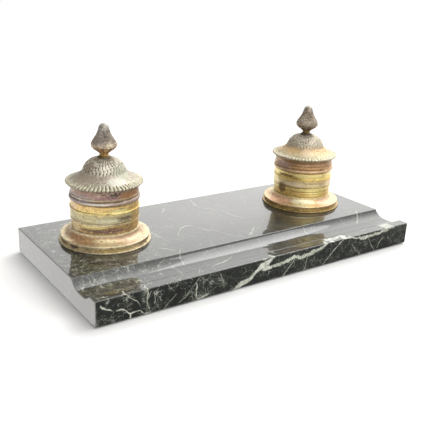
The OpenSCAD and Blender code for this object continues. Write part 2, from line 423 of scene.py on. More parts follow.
def bead(radius: float, foot: float, height: float, proud: float, steps: int = 8) -> list[Point]:
    """Points of a rounded bead on an upright wall, from its foot up.

    Args:
        radius: The wall's radius.
        foot: The bead's lower end.
        height: Its height.
        proud: How far it stands out of the wall.
        steps: The number of stretches.

    Returns:
        The points as (radius, height).
    """
    bend = (height**2 / 4 + proud**2) / (2 * proud)
    half = asin(min(1.0, height / 2 / bend))
    turn = pi - half if proud > height / 2 else half
    angles = [turn * (2 * step / steps - 1) for step in range(steps + 1)]
    middle = foot + height / 2
    return [(radius + proud - bend + bend * cos(a), middle + bend * sin(a)) for a in angles]


def ripple(radius: float, foot: float, top: float, count: int, depth: float, steps: int = 8) -> list[Point]:
    """Points of shallow turned rings on an upright wall, none of them proud of it.

    Args:
        radius: The wall's radius.
        foot: The lower end.
        top: The upper end.
        count: The number of rings.
        depth: The depth of the hollows between them.
        steps: The number of stretches in one ring.

    Returns:
        The points as (radius, height).
    """
    total = count * steps
    shares = [step / total for step in range(total + 1)]
    return [(radius - depth * abs(cos(pi * count * s)) ** 3, foot + (top - foot) * s) for s in shares]


def round_foot(radius: float, foot: float, curl: float, steps: int = 6) -> list[Point]:
    """Points of a cup's rounded foot, from its flat bottom out and up to its wall.

    Args:
        radius: The wall's radius.
        foot: The bottom's height.
        curl: The radius of the rounding.
        steps: The number of stretches.

    Returns:
        The points as (radius, height).
    """
    angles = [pi / 2 * step / steps for step in range(steps + 1)]
    return [(radius - curl + curl * sin(a), foot + curl - curl * cos(a)) for a in angles]


def soften(
    mesh: bmesh.types.BMesh, geometry: Sequence[Any], radius: float, segments: int, affect: str
) -> None:
    """Rounds edges or corners of a mesh.

    Args:
        mesh: The mesh.
        geometry: Its edges or vertices to round.
        radius: How far the rounding reaches, in millimetres.
        segments: The number of stretches in the rounding.
        affect: "EDGES" or "VERTICES".
    """
    bmesh.ops.bevel(
        mesh, geom=geometry, offset=radius * MM, offset_type="OFFSET", segments=segments,
        profile=0.5, affect=affect, material=-1, clamp_overlap=True,
    )


def link(name: str, mesh: bmesh.types.BMesh) -> bpy.types.Object:
    """Turns a bmesh into an object of the scene, and frees it.

    Args:
        name: The object's name.
        mesh: The shape.

    Returns:
        The object.
    """
    data = bpy.data.meshes.new(name)
    mesh.to_mesh(data)
    mesh.free()
    made = bpy.data.objects.new(name, data)
    bpy.context.scene.collection.objects.link(made)
    return made


def turned(
    outline: Sequence[Point], fillet: float = 0.0, steps: int = 144, chased: int = 0
) -> bmesh.types.BMesh:
    """Spins an outline about the well's axis.

    Args:
        outline: Points as (radius, height) in millimetres. It closes on itself off the axis.
        fillet: The radius that its corners are rounded to.
        steps: The number of steps round the axis, a multiple of 12.
        chased: How many of the first points lie on a face that is chased afterwards.

    Returns:
        The closed solid.
    """
    corner, wedges, merge = radians(28), 12, 0.001 * MM
    mesh = bmesh.new()
    relief = mesh.verts.layers.float.new(Relief.ATTRIBUTE)
    verts = [mesh.verts.new((radius * MM, 0, height * MM)) for radius, height in outline]
    for vert in verts[:chased]:
        vert[relief] = 1.0
    chain = list(zip(verts, verts[1:]))
    if outline[0][0] > 0 or outline[-1][0] > 0:
        chain.append((verts[-1], verts[0]))
    for pair in chain:
        mesh.edges.new(pair)
    if fillet:
        sharp = [v for v in verts if len(v.link_edges) == 2 and v.calc_edge_angle() > corner]
        soften(mesh, sharp, fillet, 3, "VERTICES")
    bmesh.ops.spin(
        mesh, geom=mesh.verts[:] + mesh.edges[:], cent=(0, 0, 0), axis=(0, 0, 1), dvec=(0, 0, 0),
        angle=tau / wedges, steps=steps // wedges, use_merge=False, use_normal_flip=False,
        use_duplicate=False,
    )
    wedge = mesh.verts[:] + mesh.edges[:] + mesh.faces[:]
    for number in range(1, wedges):
        copy = bmesh.ops.duplicate(mesh, geom=wedge)["geom"]
        turned_verts = [item for item in copy if isinstance(item, bmesh.types.BMVert)]
        turn = Matrix.Rotation(tau * number / wedges, 3, "Z")
        bmesh.ops.rotate(mesh, verts=turned_verts, cent=(0, 0, 0), matrix=turn)
    bmesh.ops.remove_doubles(mesh, verts=mesh.verts[:], dist=merge)
    bmesh.ops.recalc_face_normals(mesh, faces=mesh.faces[:])
    return mesh


@dataclass(frozen=True)
class Piece:
    """What a finished piece is called, and what it belongs to."""

    name: str
    body: str
    slot: str
    node: str
    sharp_angle: float = 40.0

    def make(self, mesh: bmesh.types.BMesh, material: bpy.types.Material) -> bpy.types.Object:
        """Turns a bmesh into the piece and hands it to its body.

        Args:
            mesh: The shape, in its place in the stand.
            material: Its finish.

        Returns:
            The object.
        """
        for face in mesh.faces:
            face.smooth = True
        made = link(self.name, mesh)
        made.data.set_sharp_from_angle(angle=radians(self.sharp_angle))
        made.data.materials.append(material)
        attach(made, self.body)
        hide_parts(self.node)
        log.info("%s: %d faces, rides on %s", self.name, len(made.data.polygons), self.body)
        return made


def dress(node: str, material: bpy.types.Material) -> None:
    """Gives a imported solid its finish.

    Args:
        node: The solid's name.
        material: The finish.
    """
    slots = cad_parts[node].material_slots
    for slot in slots:
        slot.material = material
    log.info("%s: dressed in %s", node, material.name)


# --- Finishes ---


class Face(Enum):
    """The face of the slab on which a vein's course is drawn, with the axis that it runs in along."""

    FRONT = "y"
    TOP = "z"


@dataclass(frozen=True)
class Vein:
    """A sheet of calcite through the marble, drawn by its course on one face."""

    face: Face
    course: tuple[Point, ...]
    width: float = 0.5
    strength: float = 1.0
    reach: float = 5.0

    def mask(self, shader: Shader, place: tuple[Signal, Signal], swell: Signal) -> Signal:
        """Where the vein shows on its face.

        Args:
            shader: The material.
            place: The wandering point across the face and up it, in millimetres.
            swell: A noise that widens and narrows the vein.

        Returns:
            1 in the vein and 0 off it.
        """
        ends = self.course[0], self.course[-1]
        run, rise = (abs(ends[1][axis] - ends[0][axis]) for axis in (0, 1))
        main = 1 if rise > run else 0
        course = sorted((point[main], point[1 - main]) for point in self.course)
        low, high = course[0][0], course[-1][0]
        share = place[main].share(low, high)
        middle = shader.plot(share, [((along - low) / (high - low), away) for along, away in course])
        slope = (high - low) / sqrt(run**2 + rise**2)
        gap = (place[1 - main] - middle).size() * (slope / self.width)
        ends_fade = shader.plot(share, ((0, 0), (0.06, 1), (0.94, 1), (1, 0)))
        soft = max(0.35 / self.width, 0.45)
        return (gap - swell).step(soft, -0.2 / self.width) * ends_fade


@dataclass(frozen=True)
class Marble:
    """Polished green-black marble with white and pale green veins."""

    veins: tuple[Vein, ...]
    left: float
    front: float
    top: float
    ground: Colour = srgb(0x1D201D)
    cloud: Colour = srgb(0x2A2E2A)
    calcite: Colour = srgb(0xD8DACE)
    green_calcite: Colour = srgb(0x989E8C)
    crackle_edge: float = -70.0
    crackle_plain: float = 2.0
    top_show: float = 0.34
    end_grain: Colour = srgb(0x807B72)
    groove_back: float = 31.0

    def _named_veins(
        self, shader: Shader, point: Signal, place: tuple[Signal, Signal, Signal]
    ) -> Signal:
        """The veins whose course is given.

        Args:
            shader: The material.
            point: The wandering point.
            place: The true x, y and z.

        Returns:
            1 in a vein and 0 off it.
        """
        swell = shader.noise(point, 9.0, detail=2) * 1.3 + shader.noise(point, 2.2, detail=3) * 1.6 - 0.7
        across, inward, upward = shader.axes(point)
        places = {Face.FRONT: (across, upward), Face.TOP: (across, inward)}
        depths = {Face.FRONT: place[1] - self.front, Face.TOP: self.top - place[2]}
        found: Signal | None = None
        for vein in self.veins:
            mask = vein.mask(shader, places[vein.face], swell)
            mask = mask * (depths[vein.face].step(vein.reach + 1, vein.reach) * vein.strength)
            found = mask if found is None else found.most(mask)
        return found

    def _crackle(self, shader: Shader, point: Signal, cell: float, width: Signal) -> Signal:
        """A net of fine veins.

        Args:
            shader: The material.
            point: The wandering point.
            cell: The size of the net's cells, in millimetres.
            width: Half the width of its lines, in millimetres. The net breaks where it is below 0.

        Returns:
            1 on a line and 0 off it.
        """
        return (width - shader.cell_edge(point, 1 / cell) * cell).step(-0.12, 0.2)

    def _net(
        self, shader: Shader, true_point: Signal, point: Signal, clouds: Signal, left_end: Signal
    ) -> Signal:
        """The net of fine veins between the named ones, in four sizes.

        Args:
            shader: The material.
            true_point: The point on the slab.
            point: The wandering point.
            clouds: The noise of the ground's clouds.
            left_end: 1 near the slab's left end and 0 at its right.

        Returns:
            1 on the strongest lines and 0 off them.
        """
        jolt = shader.wander(true_point, 6.0, 3, 6.0, roughness=0.5)
        slanted = shader.vector("MULTIPLY", shader.vector("ADD", point, jolt), (1.0, 0.62, 1.35))
        wax = shader.noise(true_point, 7.0, detail=4).step(0.38, 0.60)
        dense = self._crackle(shader, slanted, 8.0, (wax * 0.3 - 0.12) * left_end) * 0.9
        hair = self._crackle(shader, slanted, 3.4, (wax * 0.2 - 0.12) * left_end) * 0.6
        loose = self._crackle(shader, slanted, 26.0, wax * 0.3 - 0.16) * 0.7
        thread = self._crackle(shader, slanted, 10.0, clouds.step(0.38, 0.56) * 0.24 - 0.1) * 0.55
        return dense.most(hair).most(loose).most(thread)

    def material(self) -> bpy.types.Material:
        """Builds the marble.

        Returns:
            The material.
        """
        shader = Shader("polished_marble")
        true_point = shader.millimetres()
        place = shader.axes(true_point)
        point = shader.vector("ADD", true_point, shader.wander(true_point, 14.0, 4, 7.0))
        clouds = shader.noise(point, 26.0, detail=6, roughness=0.62)
        fine = shader.noise(point, 3.0, detail=5, roughness=0.7)
        grit = shader.noise(true_point, 0.7, detail=4, roughness=0.75)
        # The net is dense near the slab's left end and thins out to the right
        left_end = place[0].step(self.crackle_edge + 40, self.crackle_edge - 30)
        left_end = left_end * (place[0] + self.left).step(self.crackle_plain - 1.5, self.crackle_plain + 2)
        # A polished face that mirrors its surroundings shows its veins less
        show = left_end * 0.5 + self.top_show
        sheen = (place[1] - self.front).step(1.2, 0.3) * (1 - show) + show
        net = self._net(shader, true_point, point, clouds, left_end) * sheen
        veins = self._named_veins(shader, point, place).most(net)
        flecks = grit.step(0.60, 0.74) * fine.step(0.50, 0.64) * (left_end * 0.7 + 0.3) * sheen
        haze = fine.step(0.50, 0.72) * clouds.step(0.46, 0.62) * (left_end * 0.5 + 0.12) * sheen
        ground = shader.mix(clouds.step(0.42, 0.68) * 0.55, self.ground, self.cloud)
        ground = shader.mix(haze, ground, self.green_calcite)
        ground = shader.mix(flecks * 0.5, ground, self.green_calcite)
        # The left end is mottled with a paler grey grain
        left_end_face = (place[0] + self.left).step(0.9, 0.4)
        ground = shader.mix(left_end_face * (grit * 0.7 + fine * 0.5 - 0.1).clamped(), ground, self.end_grain)
        tint = shader.noise(true_point, 17.0, detail=2).step(0.42, 0.60) * 0.5 + fine.step(0.42, 0.56) * 0.5
        calcite = shader.mix(tint, self.green_calcite, self.calcite)
        colour = shader.mix((veins * (grit * 0.7 + fine * 0.9 + 0.15)).clamped(), ground, calcite)
        # The flat top has the deepest polish; the groove and the sides have less
        flat = (place[1] - self.front).step(self.groove_back - 0.5, self.groove_back + 0.5)
        flat = flat * (self.top - place[2]).step(0.6, 0.2)
        return shader.surface(
            Base_Color=colour,
            Roughness=veins * 0.05 + haze * 0.05 + 0.42,
            Normal=shader.bump(grit, 0.004, 0.25),
            IOR=1.3,
            Coat_Weight=flat * 0.2 + 0.8,
            Coat_Roughness=0.03,
            Coat_IOR=1.8,
        )


@dataclass(frozen=True)
class Axis:
    """A well's upright axis, with the direction in which its shown side faces."""

    centre: Vector
    facing: float

    def coordinates(self, shader: Shader) -> tuple[Signal, Signal, Signal, Signal]:
        """Where a surface point lies on the well.

        Args:
            shader: The material.

        Returns:
            The point from the axis in millimetres, its turn to the right of the shown side in
            radians, its distance from the axis and its height.
        """
        local = shader.vector("SUBTRACT", shader.millimetres(), self.centre / MM)
        outward = Vector((cos(self.facing), sin(self.facing), 0))
        rightward = Vector((-outward.y, outward.x, 0))
        across = shader.vector("DOT_PRODUCT", local, rightward, output="Value")
        towards = shader.vector("DOT_PRODUCT", local, outward, output="Value")
        turn = shader.node("ShaderNodeMath", {"operation": "ARCTAN2"}, {0: across, 1: towards})
        radius = (across * across + towards * towards) ** 0.5
        return local, turn, radius, shader.axes(local)[2]


@dataclass(frozen=True)
class Patch:
    """A patch of colour on a well. Some are stains and places rubbed bright; some are painted highlights and
    painted shade.

    The turn is in degrees to the right of the shown side, and the height is above the slab.
    """

    colour: int
    turn: float
    height: float
    half_turn: float
    half_height: float
    strength: float = 0.9
    ragged: float = 0.8
    metal: float = 0.35

    def lay(
        self, place: tuple[Signal, Signal, Signal], cover: Signal, colour: Signal, dull: Signal
    ) -> tuple[Signal, Signal]:
        """Lays the patch on a metal.

        Args:
            place: The point's turn in radians, its height, and a noise that frays the patch's edge.
            cover: How well the patch takes at the point.
            colour: The metal's colour below.
            dull: How dull the metal is below.

        Returns:
            The colour and the dullness with the patch on.
        """
        turn, height, rag = place
        across = (turn - radians(self.turn)) / radians(self.half_turn)
        upward = (height - self.height) / self.half_height
        away = (across * across + upward * upward) ** 0.5
        mask = (away + (rag - 0.5) * (2 * self.ragged)).step(1.15, 0.65) * self.strength
        colour = turn.shader.mix(mask * cover, colour, srgb(self.colour))
        return colour, dull * (1 - mask) + mask * (1 - self.metal)


@dataclass(frozen=True)
class WornMetal:
    """Old turned brass: colour in rings by height, stains, bright rubs, painted highlights, specks that are
    partly gilt and partly painted glints, turning marks and pits.
    """

    name: str
    axis: Axis
    rings: tuple[Stop, ...]
    patches: tuple[Patch, ...] = ()
    stain: Colour = srgb(0x543E2E)
    gilt_and_glint: Colour = srgb(0xF6E0A0)
    stain_share: float = 0.35
    gilt_and_glint_share: float = 0.35
    fleck_share: float = 0.5
    shade_share: float = 0.85
    roughness: float = 0.38
    metal: float = 0.6

    def material(self) -> bpy.types.Material:
        """Builds the metal.

        Returns:
            The material.
        """
        shader = Shader(self.name)
        local, turn, _, height = self.axis.coordinates(shader)
        stretched = shader.vector("MULTIPLY", local, (0.28, 0.28, 1.6))
        drift = shader.noise(local, 7.0, detail=4)
        streaks = shader.noise(stretched, 1.3, detail=4, roughness=0.7)
        speckle = shader.noise(local, 1.6, detail=5, roughness=0.75)
        rag = shader.noise(shader.vector("MULTIPLY", local, (1, 1, 1.7)), 2.6, detail=5, roughness=0.7)
        colour = shader.ramp(height + (rag - 0.5) * 0.7, self.rings)
        worn = streaks * 0.4 + drift * 0.15 + speckle * 0.45
        shade = shader.ramp(worn, [(0.36, 0x968E84), (0.58, 0xFFFFFF)])
        colour = shader.mix(self.shade_share, colour, shade, "MULTIPLY")
        stains = (streaks * 0.5 + drift * 0.5 + (speckle - 0.5) * 0.4).step(0.46, 0.36) * self.stain_share
        # Bright specks: partly brighter gilt, partly painted glints
        gilt_and_glint_specks = (speckle * 0.6 + streaks * 0.4).step(0.55, 0.66) * self.gilt_and_glint_share
        colour = shader.mix(stains, colour, self.stain)
        colour = shader.mix(gilt_and_glint_specks, colour, self.gilt_and_glint)
        dull = stains
        cover = (speckle * 0.9 + 0.5).clamped()
        for patch in self.patches:
            colour, dull = patch.lay((turn, height, rag), cover, colour, dull)
        # Flecks in the same bright colour are partly gilt and partly painted glints; the spots in the stain
        # colour are pits
        flecks = rag.step(0.55, 0.66)
        spots = rag.step(0.45, 0.34)
        colour = shader.mix(flecks * self.fleck_share, colour, self.gilt_and_glint)
        colour = shader.mix(spots * self.fleck_share, colour, self.stain)
        relief = streaks * 0.45 + speckle * 0.3 + flecks * 0.3 - spots * 0.4
        return shader.surface(
            Base_Color=colour,
            Metallic=self.metal * (1 - dull * 0.7),
            Roughness=dull * 0.3 + streaks * 0.2 + (self.roughness - 0.1),
            Normal=shader.bump(relief, 0.22, 0.7),
        )


@dataclass(frozen=True)
class ChasedMetal:
    """Chased brass whose crests are rubbed pale and painted with highlights, and whose hollows are darker
    with their dirt and with painted shade.

    The mesh carries the relief, from 0 in a hollow to 1 on a crest, as an attribute.
    """

    name: str
    axis: Axis
    crests: tuple[Stop, ...]
    hollows: tuple[Stop, ...]
    by_height: bool = False
    patches: tuple[Patch, ...] = ()
    verdigris: Colour = srgb(0x9E9E8E)
    verdigris_share: float = 0.2
    roughness: float = 0.50
    metal: float = 0.55

    def material(self) -> bpy.types.Material:
        """Builds the metal.

        Returns:
            The material.
        """
        shader = Shader(self.name)
        local, turn, radius, height = self.axis.coordinates(shader)
        relief = shader.node("ShaderNodeAttribute", {"attribute_name": Relief.ATTRIBUTE}, output="Fac")
        drift = shader.noise(local, 6.0, detail=4)
        speckle = shader.noise(local, 1.5, detail=5, roughness=0.75)
        rag = shader.noise(local, 2.4, detail=5, roughness=0.7)
        along = height if self.by_height else radius
        along = along + (rag - 0.5) * 1.2
        crest = shader.ramp(along, self.crests)
        hollow = shader.ramp(along, self.hollows)
        # Crests take the crest colour, partly rubbed bright and partly painted highlight; hollows take the
        # hollow colour, partly dirt and patina and partly painted shade
        worn = (relief + (speckle - 0.5) * 0.8).step(0.12, 0.8)
        colour = shader.mix(worn, hollow, crest)
        green = drift.step(0.46, 0.62) * self.verdigris_share
        colour = shader.mix(green, colour, self.verdigris)
        shade = shader.ramp(speckle * 0.7 + rag * 0.3, [(0.36, 0x8A7E70), (0.58, 0xFFFFFF)])
        colour = shader.mix(0.85, colour, shade, "MULTIPLY")
        dull = green + (1 - worn) * 0.55
        cover = worn * 0.6 + 0.4
        for patch in self.patches:
            colour, dull = patch.lay((turn, height, rag), cover, colour, dull)
        return shader.surface(
            Base_Color=colour,
            Metallic=(self.metal - dull * 0.5).clamped(),
            Roughness=dull * 0.22 + speckle * 0.16 + (self.roughness - 0.08),
            Normal=shader.bump(speckle, 0.22, 0.7),
        )


@dataclass(frozen=True)
class PlainMetal:
    """Unpolished metal on a part that doesn't show."""

    name: str
    colour: Colour
    stain: Colour
    roughness: float = 0.4

    def material(self) -> bpy.types.Material:
        """Builds the metal.

        Returns:
            The material.
        """
        shader = Shader(self.name)
        point = shader.millimetres()
        drift = shader.noise(point, 5.0, detail=4)
        grain = shader.noise(shader.vector("MULTIPLY", point, (1, 1, 4)), 0.8, detail=3)
        colour = shader.mix((drift * 0.6 + grain * 0.4).step(0.44, 0.62), self.stain, self.colour)
        return shader.surface(
            Base_Color=colour,
            Metallic=1.0,
            Roughness=grain * 0.3 + (self.roughness - 0.15),
            Normal=shader.bump(grain, 0.04, 0.5),
        )


@dataclass(frozen=True)
class InkedPorcelain:
    """Glazed white porcelain with a ring of dried ink inside."""

    name: str
    axis: Axis
    ink_height: float
    bore: float
    glaze: Colour = srgb(0xECEAE0)
    craze: Colour = srgb(0xBAB29E)
    ink: Colour = srgb(0x161626)
    craze_scale: float = 0.3

    def material(self) -> bpy.types.Material:
        """Builds the porcelain.

        Returns:
            The material.
        """
        shader = Shader(self.name)
        local, _, radius, height = self.axis.coordinates(shader)
        drift = shader.noise(local, 6.0, detail=5)
        craze = shader.cell_edge(local, self.craze_scale).step(0.03, 0.0) * drift.step(0.42, 0.6) * 0.5
        colour = shader.mix(drift.step(0.4, 0.75) * 0.4, self.glaze, self.craze)
        colour = shader.mix(craze, colour, self.craze)
        level = self.ink_height + (drift - 0.5) * 5
        inside = radius.step(self.bore + 0.7, self.bore + 0.3)
        ink = (height - level).step(0.6, -0.6) * inside
        tide = (height - level).size().step(1.6, 0.2) * inside * 0.6
        colour = shader.mix(ink.most(tide), colour, self.ink)
        return shader.surface(
            Base_Color=colour, Roughness=ink * 0.25 + drift * 0.1 + 0.08, Coat_Weight=(1 - ink) * 0.5
        )


@dataclass(frozen=True)
class Baize:
    """Green wool baize with a felted nap."""

    name: str = "baize"
    colour: Colour = srgb(0x2C4A32)
    worn: Colour = srgb(0x52684A)

    def material(self) -> bpy.types.Material:
        """Builds the cloth.

        Returns:
            The material.
        """
        shader = Shader(self.name)
        point = shader.millimetres()
        nap = shader.noise(point, 0.5, detail=5, roughness=0.8)
        fibre = shader.noise(shader.vector("MULTIPLY", point, (0.35, 1.4, 1)), 0.5, detail=3, roughness=0.7)
        wear = shader.noise(point, 30.0, detail=4).step(0.46, 0.68)
        colour = shader.mix(wear * 0.5 + nap.step(0.5, 0.72) * 0.4, self.colour, self.worn)
        return shader.surface(
            Base_Color=colour,
            Roughness=0.95,
            Sheen_Weight=0.4,
            Sheen_Roughness=0.5,
            Normal=shader.bump(nap * 0.6 + fibre * 0.4, 0.25, 0.8),
        )


# --- The slab ---


def corners(node: str) -> tuple[Vector, Vector]:
    """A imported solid's lowest and highest corner, in millimetres."""
    low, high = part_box(node)
    return low / MM, high / MM


@dataclass
class Slab:
    """The marble slab with its pen groove, and the baize glued under it."""

    groove_radius: float = 14.0
    groove_depth: float = 6.0
    groove_flat: float = 6.5
    lip_width: float = 8.7
    lip_drop: float = 1.4
    edge_round: float = 0.75
    crest_round: float = 0.25
    sharp_angle: float = 10.0
    corner_round: float = 1.5
    recess_radius: float = 8.5
    recess_depth: float = 9.0
    hole_radius: float = 2.9
    baize_gap: float = 0.05
    baize_nap: float = 0.12
    baize_cells: tuple[int, int] = (98, 46)
    baize_angle: float = 50.0
    nap_seed: int = 7
    edge_angle: float = 25.0
    hole_sides: int = 64
    overcut: float = 1.0
    back_margin: float = 1.0
    level_slack: float = 0.01
    body: str = "stand"

    def __post_init__(self) -> None:
        """Reads the slab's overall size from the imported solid."""
        self.low, self.high = corners("marble_slab")

    def _arc(self, middle: float, start: float, end: float, steps: int = 14) -> list[Point]:
        """Points of one curved side of the groove.

        Args:
            middle: The y of the side's centre.
            start: The angle at which it starts.
            end: The angle at which it ends.
            steps: The number of stretches.

        Returns:
            The points as (y, z).
        """
        height = self.high.z - self.groove_depth + self.groove_radius
        angles = [start + (end - start) * step / steps for step in range(steps + 1)]
        return [(middle + self.groove_radius * cos(a), height + self.groove_radius * sin(a)) for a in angles]

    def section(self) -> list[Point]:
        """The slab's end outline from the front's foot round, as (y, z)."""
        radius, front, back, top = self.groove_radius, self.low.y, self.high.y, self.high.z
        lip_rise = self.groove_depth - self.lip_drop
        front_reach = sqrt(radius**2 - (radius - lip_rise) ** 2)
        near = front + self.lip_width + front_reach
        far = near + self.groove_flat
        lip_angle = asin((radius - lip_rise) / radius)
        crest_angle = asin((radius - self.groove_depth) / radius)
        lip = [(front, top - self.lip_drop)]
        near_side = self._arc(near, pi + lip_angle, 1.5 * pi)
        far_side = self._arc(far, -pi / 2, -crest_angle)
        foot = self.low.z
        return [(front, foot), *lip, *near_side, *far_side, (back, top), (back, foot)]

    def _cutter(self, well: Vector, radius: float, low: float, high: float) -> bpy.types.Object:
        """A round cutter for a hole.

        Args:
            well: The well's axis.
            radius: The hole's radius.
            low: The lower end.
            high: The upper end.

        Returns:
            The cutter.
        """
        mesh = bmesh.new()
        place = Matrix.Translation((well.x * MM, well.y * MM, (low + high) / 2 * MM))
        bmesh.ops.create_cone(
            mesh, cap_ends=True, segments=self.hole_sides, radius1=radius * MM, radius2=radius * MM,
            depth=(high - low) * MM, matrix=place,
        )
        return link("cutter", mesh)

    def _bore(self, slab: bpy.types.Object, wells: Sequence[Vector]) -> None:
        """Cuts the bolt holes and the recesses under them.

        Args:
            slab: The slab.
            wells: The wells' axes.
        """
        cutters = []
        roof = self.low.z + self.recess_depth
        below, above = self.low.z - self.overcut, self.high.z + self.overcut
        for well in wells:
            cutters.append(self._cutter(well, self.hole_radius, roof - self.overcut, above))
            cutters.append(self._cutter(well, self.recess_radius, below, roof))
        for cutter in cutters:
            cut = slab.modifiers.new("hole", "BOOLEAN")
            cut.object = cutter
            cut.operation = "DIFFERENCE"
            cut.solver = "EXACT"
        graph = bpy.context.evaluated_depsgraph_get()
        bored = bpy.data.meshes.new_from_object(slab.evaluated_get(graph))
        slab.modifiers.clear()
        slab.data = bored
        for cutter in cutters:
            bpy.data.meshes.remove(cutter.data)

    def build(self, marble: Marble, baize: Baize, wells: Sequence[Vector]) -> None:
        """Makes the slab and its baize.

        Args:
            marble: The slab's finish.
            baize: The lining's finish.
            wells: The wells' axes, in millimetres.
        """
        mesh = bmesh.new()
        outline = [mesh.verts.new((self.low.x * MM, y * MM, z * MM)) for y, z in self.section()]
        end = mesh.faces.new(outline)
        pulled = bmesh.ops.extrude_face_region(mesh, geom=[end])
        moved = [item for item in pulled["geom"] if isinstance(item, bmesh.types.BMVert)]
        bmesh.ops.translate(mesh, verts=moved, vec=((self.high.x - self.low.x) * MM, 0, 0))
        bmesh.ops.recalc_face_normals(mesh, faces=mesh.faces[:])
        # The groove's crest is the one long edge at the top's height that isn't the back one
        behind, level = (self.high.y - self.back_margin) * MM, (self.high.z - self.level_slack) * MM
        crest = [e for e in mesh.edges if all(v.co.y < behind and v.co.z > level for v in e.verts)]
        soften(mesh, crest, self.crest_round, 4, "EDGES")
        edges = [e for e in mesh.edges if e.calc_face_angle(0.0) > radians(self.edge_angle)]
        soften(mesh, edges, self.edge_round, 4, "EDGES")
        piece = Piece("marble_slab_polished", self.body, "marble", "marble_slab", self.sharp_angle)
        slab = piece.make(mesh, marble.material())
        self._bore(slab, wells)
        slab.data.set_sharp_from_angle(angle=radians(self.sharp_angle))
        self._line(baize)

    def _line(self, baize: Baize) -> None:
        """Makes the baize lining, a felted sheet with soft edges.

        Args:
            baize: The lining's finish.
        """
        low, high = corners("baize_lining")
        size = high - low
        mesh = bmesh.new()
        place = Matrix.Translation((0, 0, high.z * MM)) @ Matrix.Diagonal((size.x * MM, size.y * MM, 1, 1))
        along, across = self.baize_cells
        bmesh.ops.create_grid(mesh, x_segments=along, y_segments=across, size=0.5, matrix=place)
        uprights = [v for v in mesh.verts if len(v.link_edges) == 2]
        soften(mesh, uprights, self.corner_round, 3, "VERTICES")
        bmesh.ops.recalc_face_normals(mesh, faces=mesh.faces[:])
        top_side = mesh.verts[:]
        thick = (size.z - self.baize_gap) * MM
        pulled = bmesh.ops.extrude_face_region(mesh, geom=mesh.faces[:])
        under = [item for item in pulled["geom"] if isinstance(item, bmesh.types.BMVert)]
        bmesh.ops.translate(mesh, verts=under, vec=(0, 0, -thick))
        bmesh.ops.translate(mesh, verts=top_side, vec=(0, 0, -self.baize_gap * MM / 2))
        bmesh.ops.recalc_face_normals(mesh, faces=mesh.faces[:])
        nap = random.Random(self.nap_seed)
        for vert in under:
            vert.co.z += nap.random() * self.baize_nap * MM
        piece = Piece("baize_felt", self.body, "baize", "baize_lining", self.baize_angle)
        felt = piece.make(mesh, baize.material())


# --- The wells ---


class Side(Enum):
    """Which well."""

    LEFT = "left"
    RIGHT = "right"

    def node(self, part: str) -> str:
        """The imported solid's name for one of this well's parts."""
        return f"{self.value}_{part}"


class Relief:
    """A chased pattern that is cut into a turned piece from its outer face inwards."""

    ATTRIBUTE = "relief"

    @staticmethod
    def cut(mesh: bmesh.types.BMesh, pattern: Callable[[float, float, float], tuple[float, float]]) -> None:
        """Moves the marked vertices inwards and writes the relief for the finish to read.

        Args:
            mesh: The turned piece, about the world's axis, whose chased face is marked above 0.
            pattern: From radius, height and angle to the crest, from 0 to 1, and the depth.
        """
        layer = mesh.verts.layers.float[Relief.ATTRIBUTE]
        mesh.normal_update()
        moves = []
        for vert in mesh.verts:
            if vert[layer] <= 0:
                continue
            radius = vert.co.xy.length / MM
            crest, depth = pattern(radius, vert.co.z / MM, Vector((1, 0)).angle_signed(vert.co.xy, 0.0))
            moves.append((vert, vert.normal * (-depth * (1 - crest) * MM), crest))
        for vert, move, crest in moves:
            vert.co += move
            vert[layer] = crest


def blend(value: float, low: float, high: float) -> float:
    """A soft step from 0 at low to 1 at high."""
    share = min(1.0, max(0.0, (value - low) / (high - low)))
    return share * share * (3 - 2 * share)


def lobe(angle: float, count: int, shift: float = 0.0) -> tuple[int, float]:
    """Which of a ring of equal lobes an angle falls in, and how far across it.

    Args:
        angle: The angle in radians.
        count: The number of lobes.
        shift: A turn of the ring, in lobes.

    Returns:
        The lobe's number, and the place across it from -1 to 1.
    """
    place = (angle / tau * count + shift) % count
    number = floor(place)
    return number, 2 * (place - number) - 1


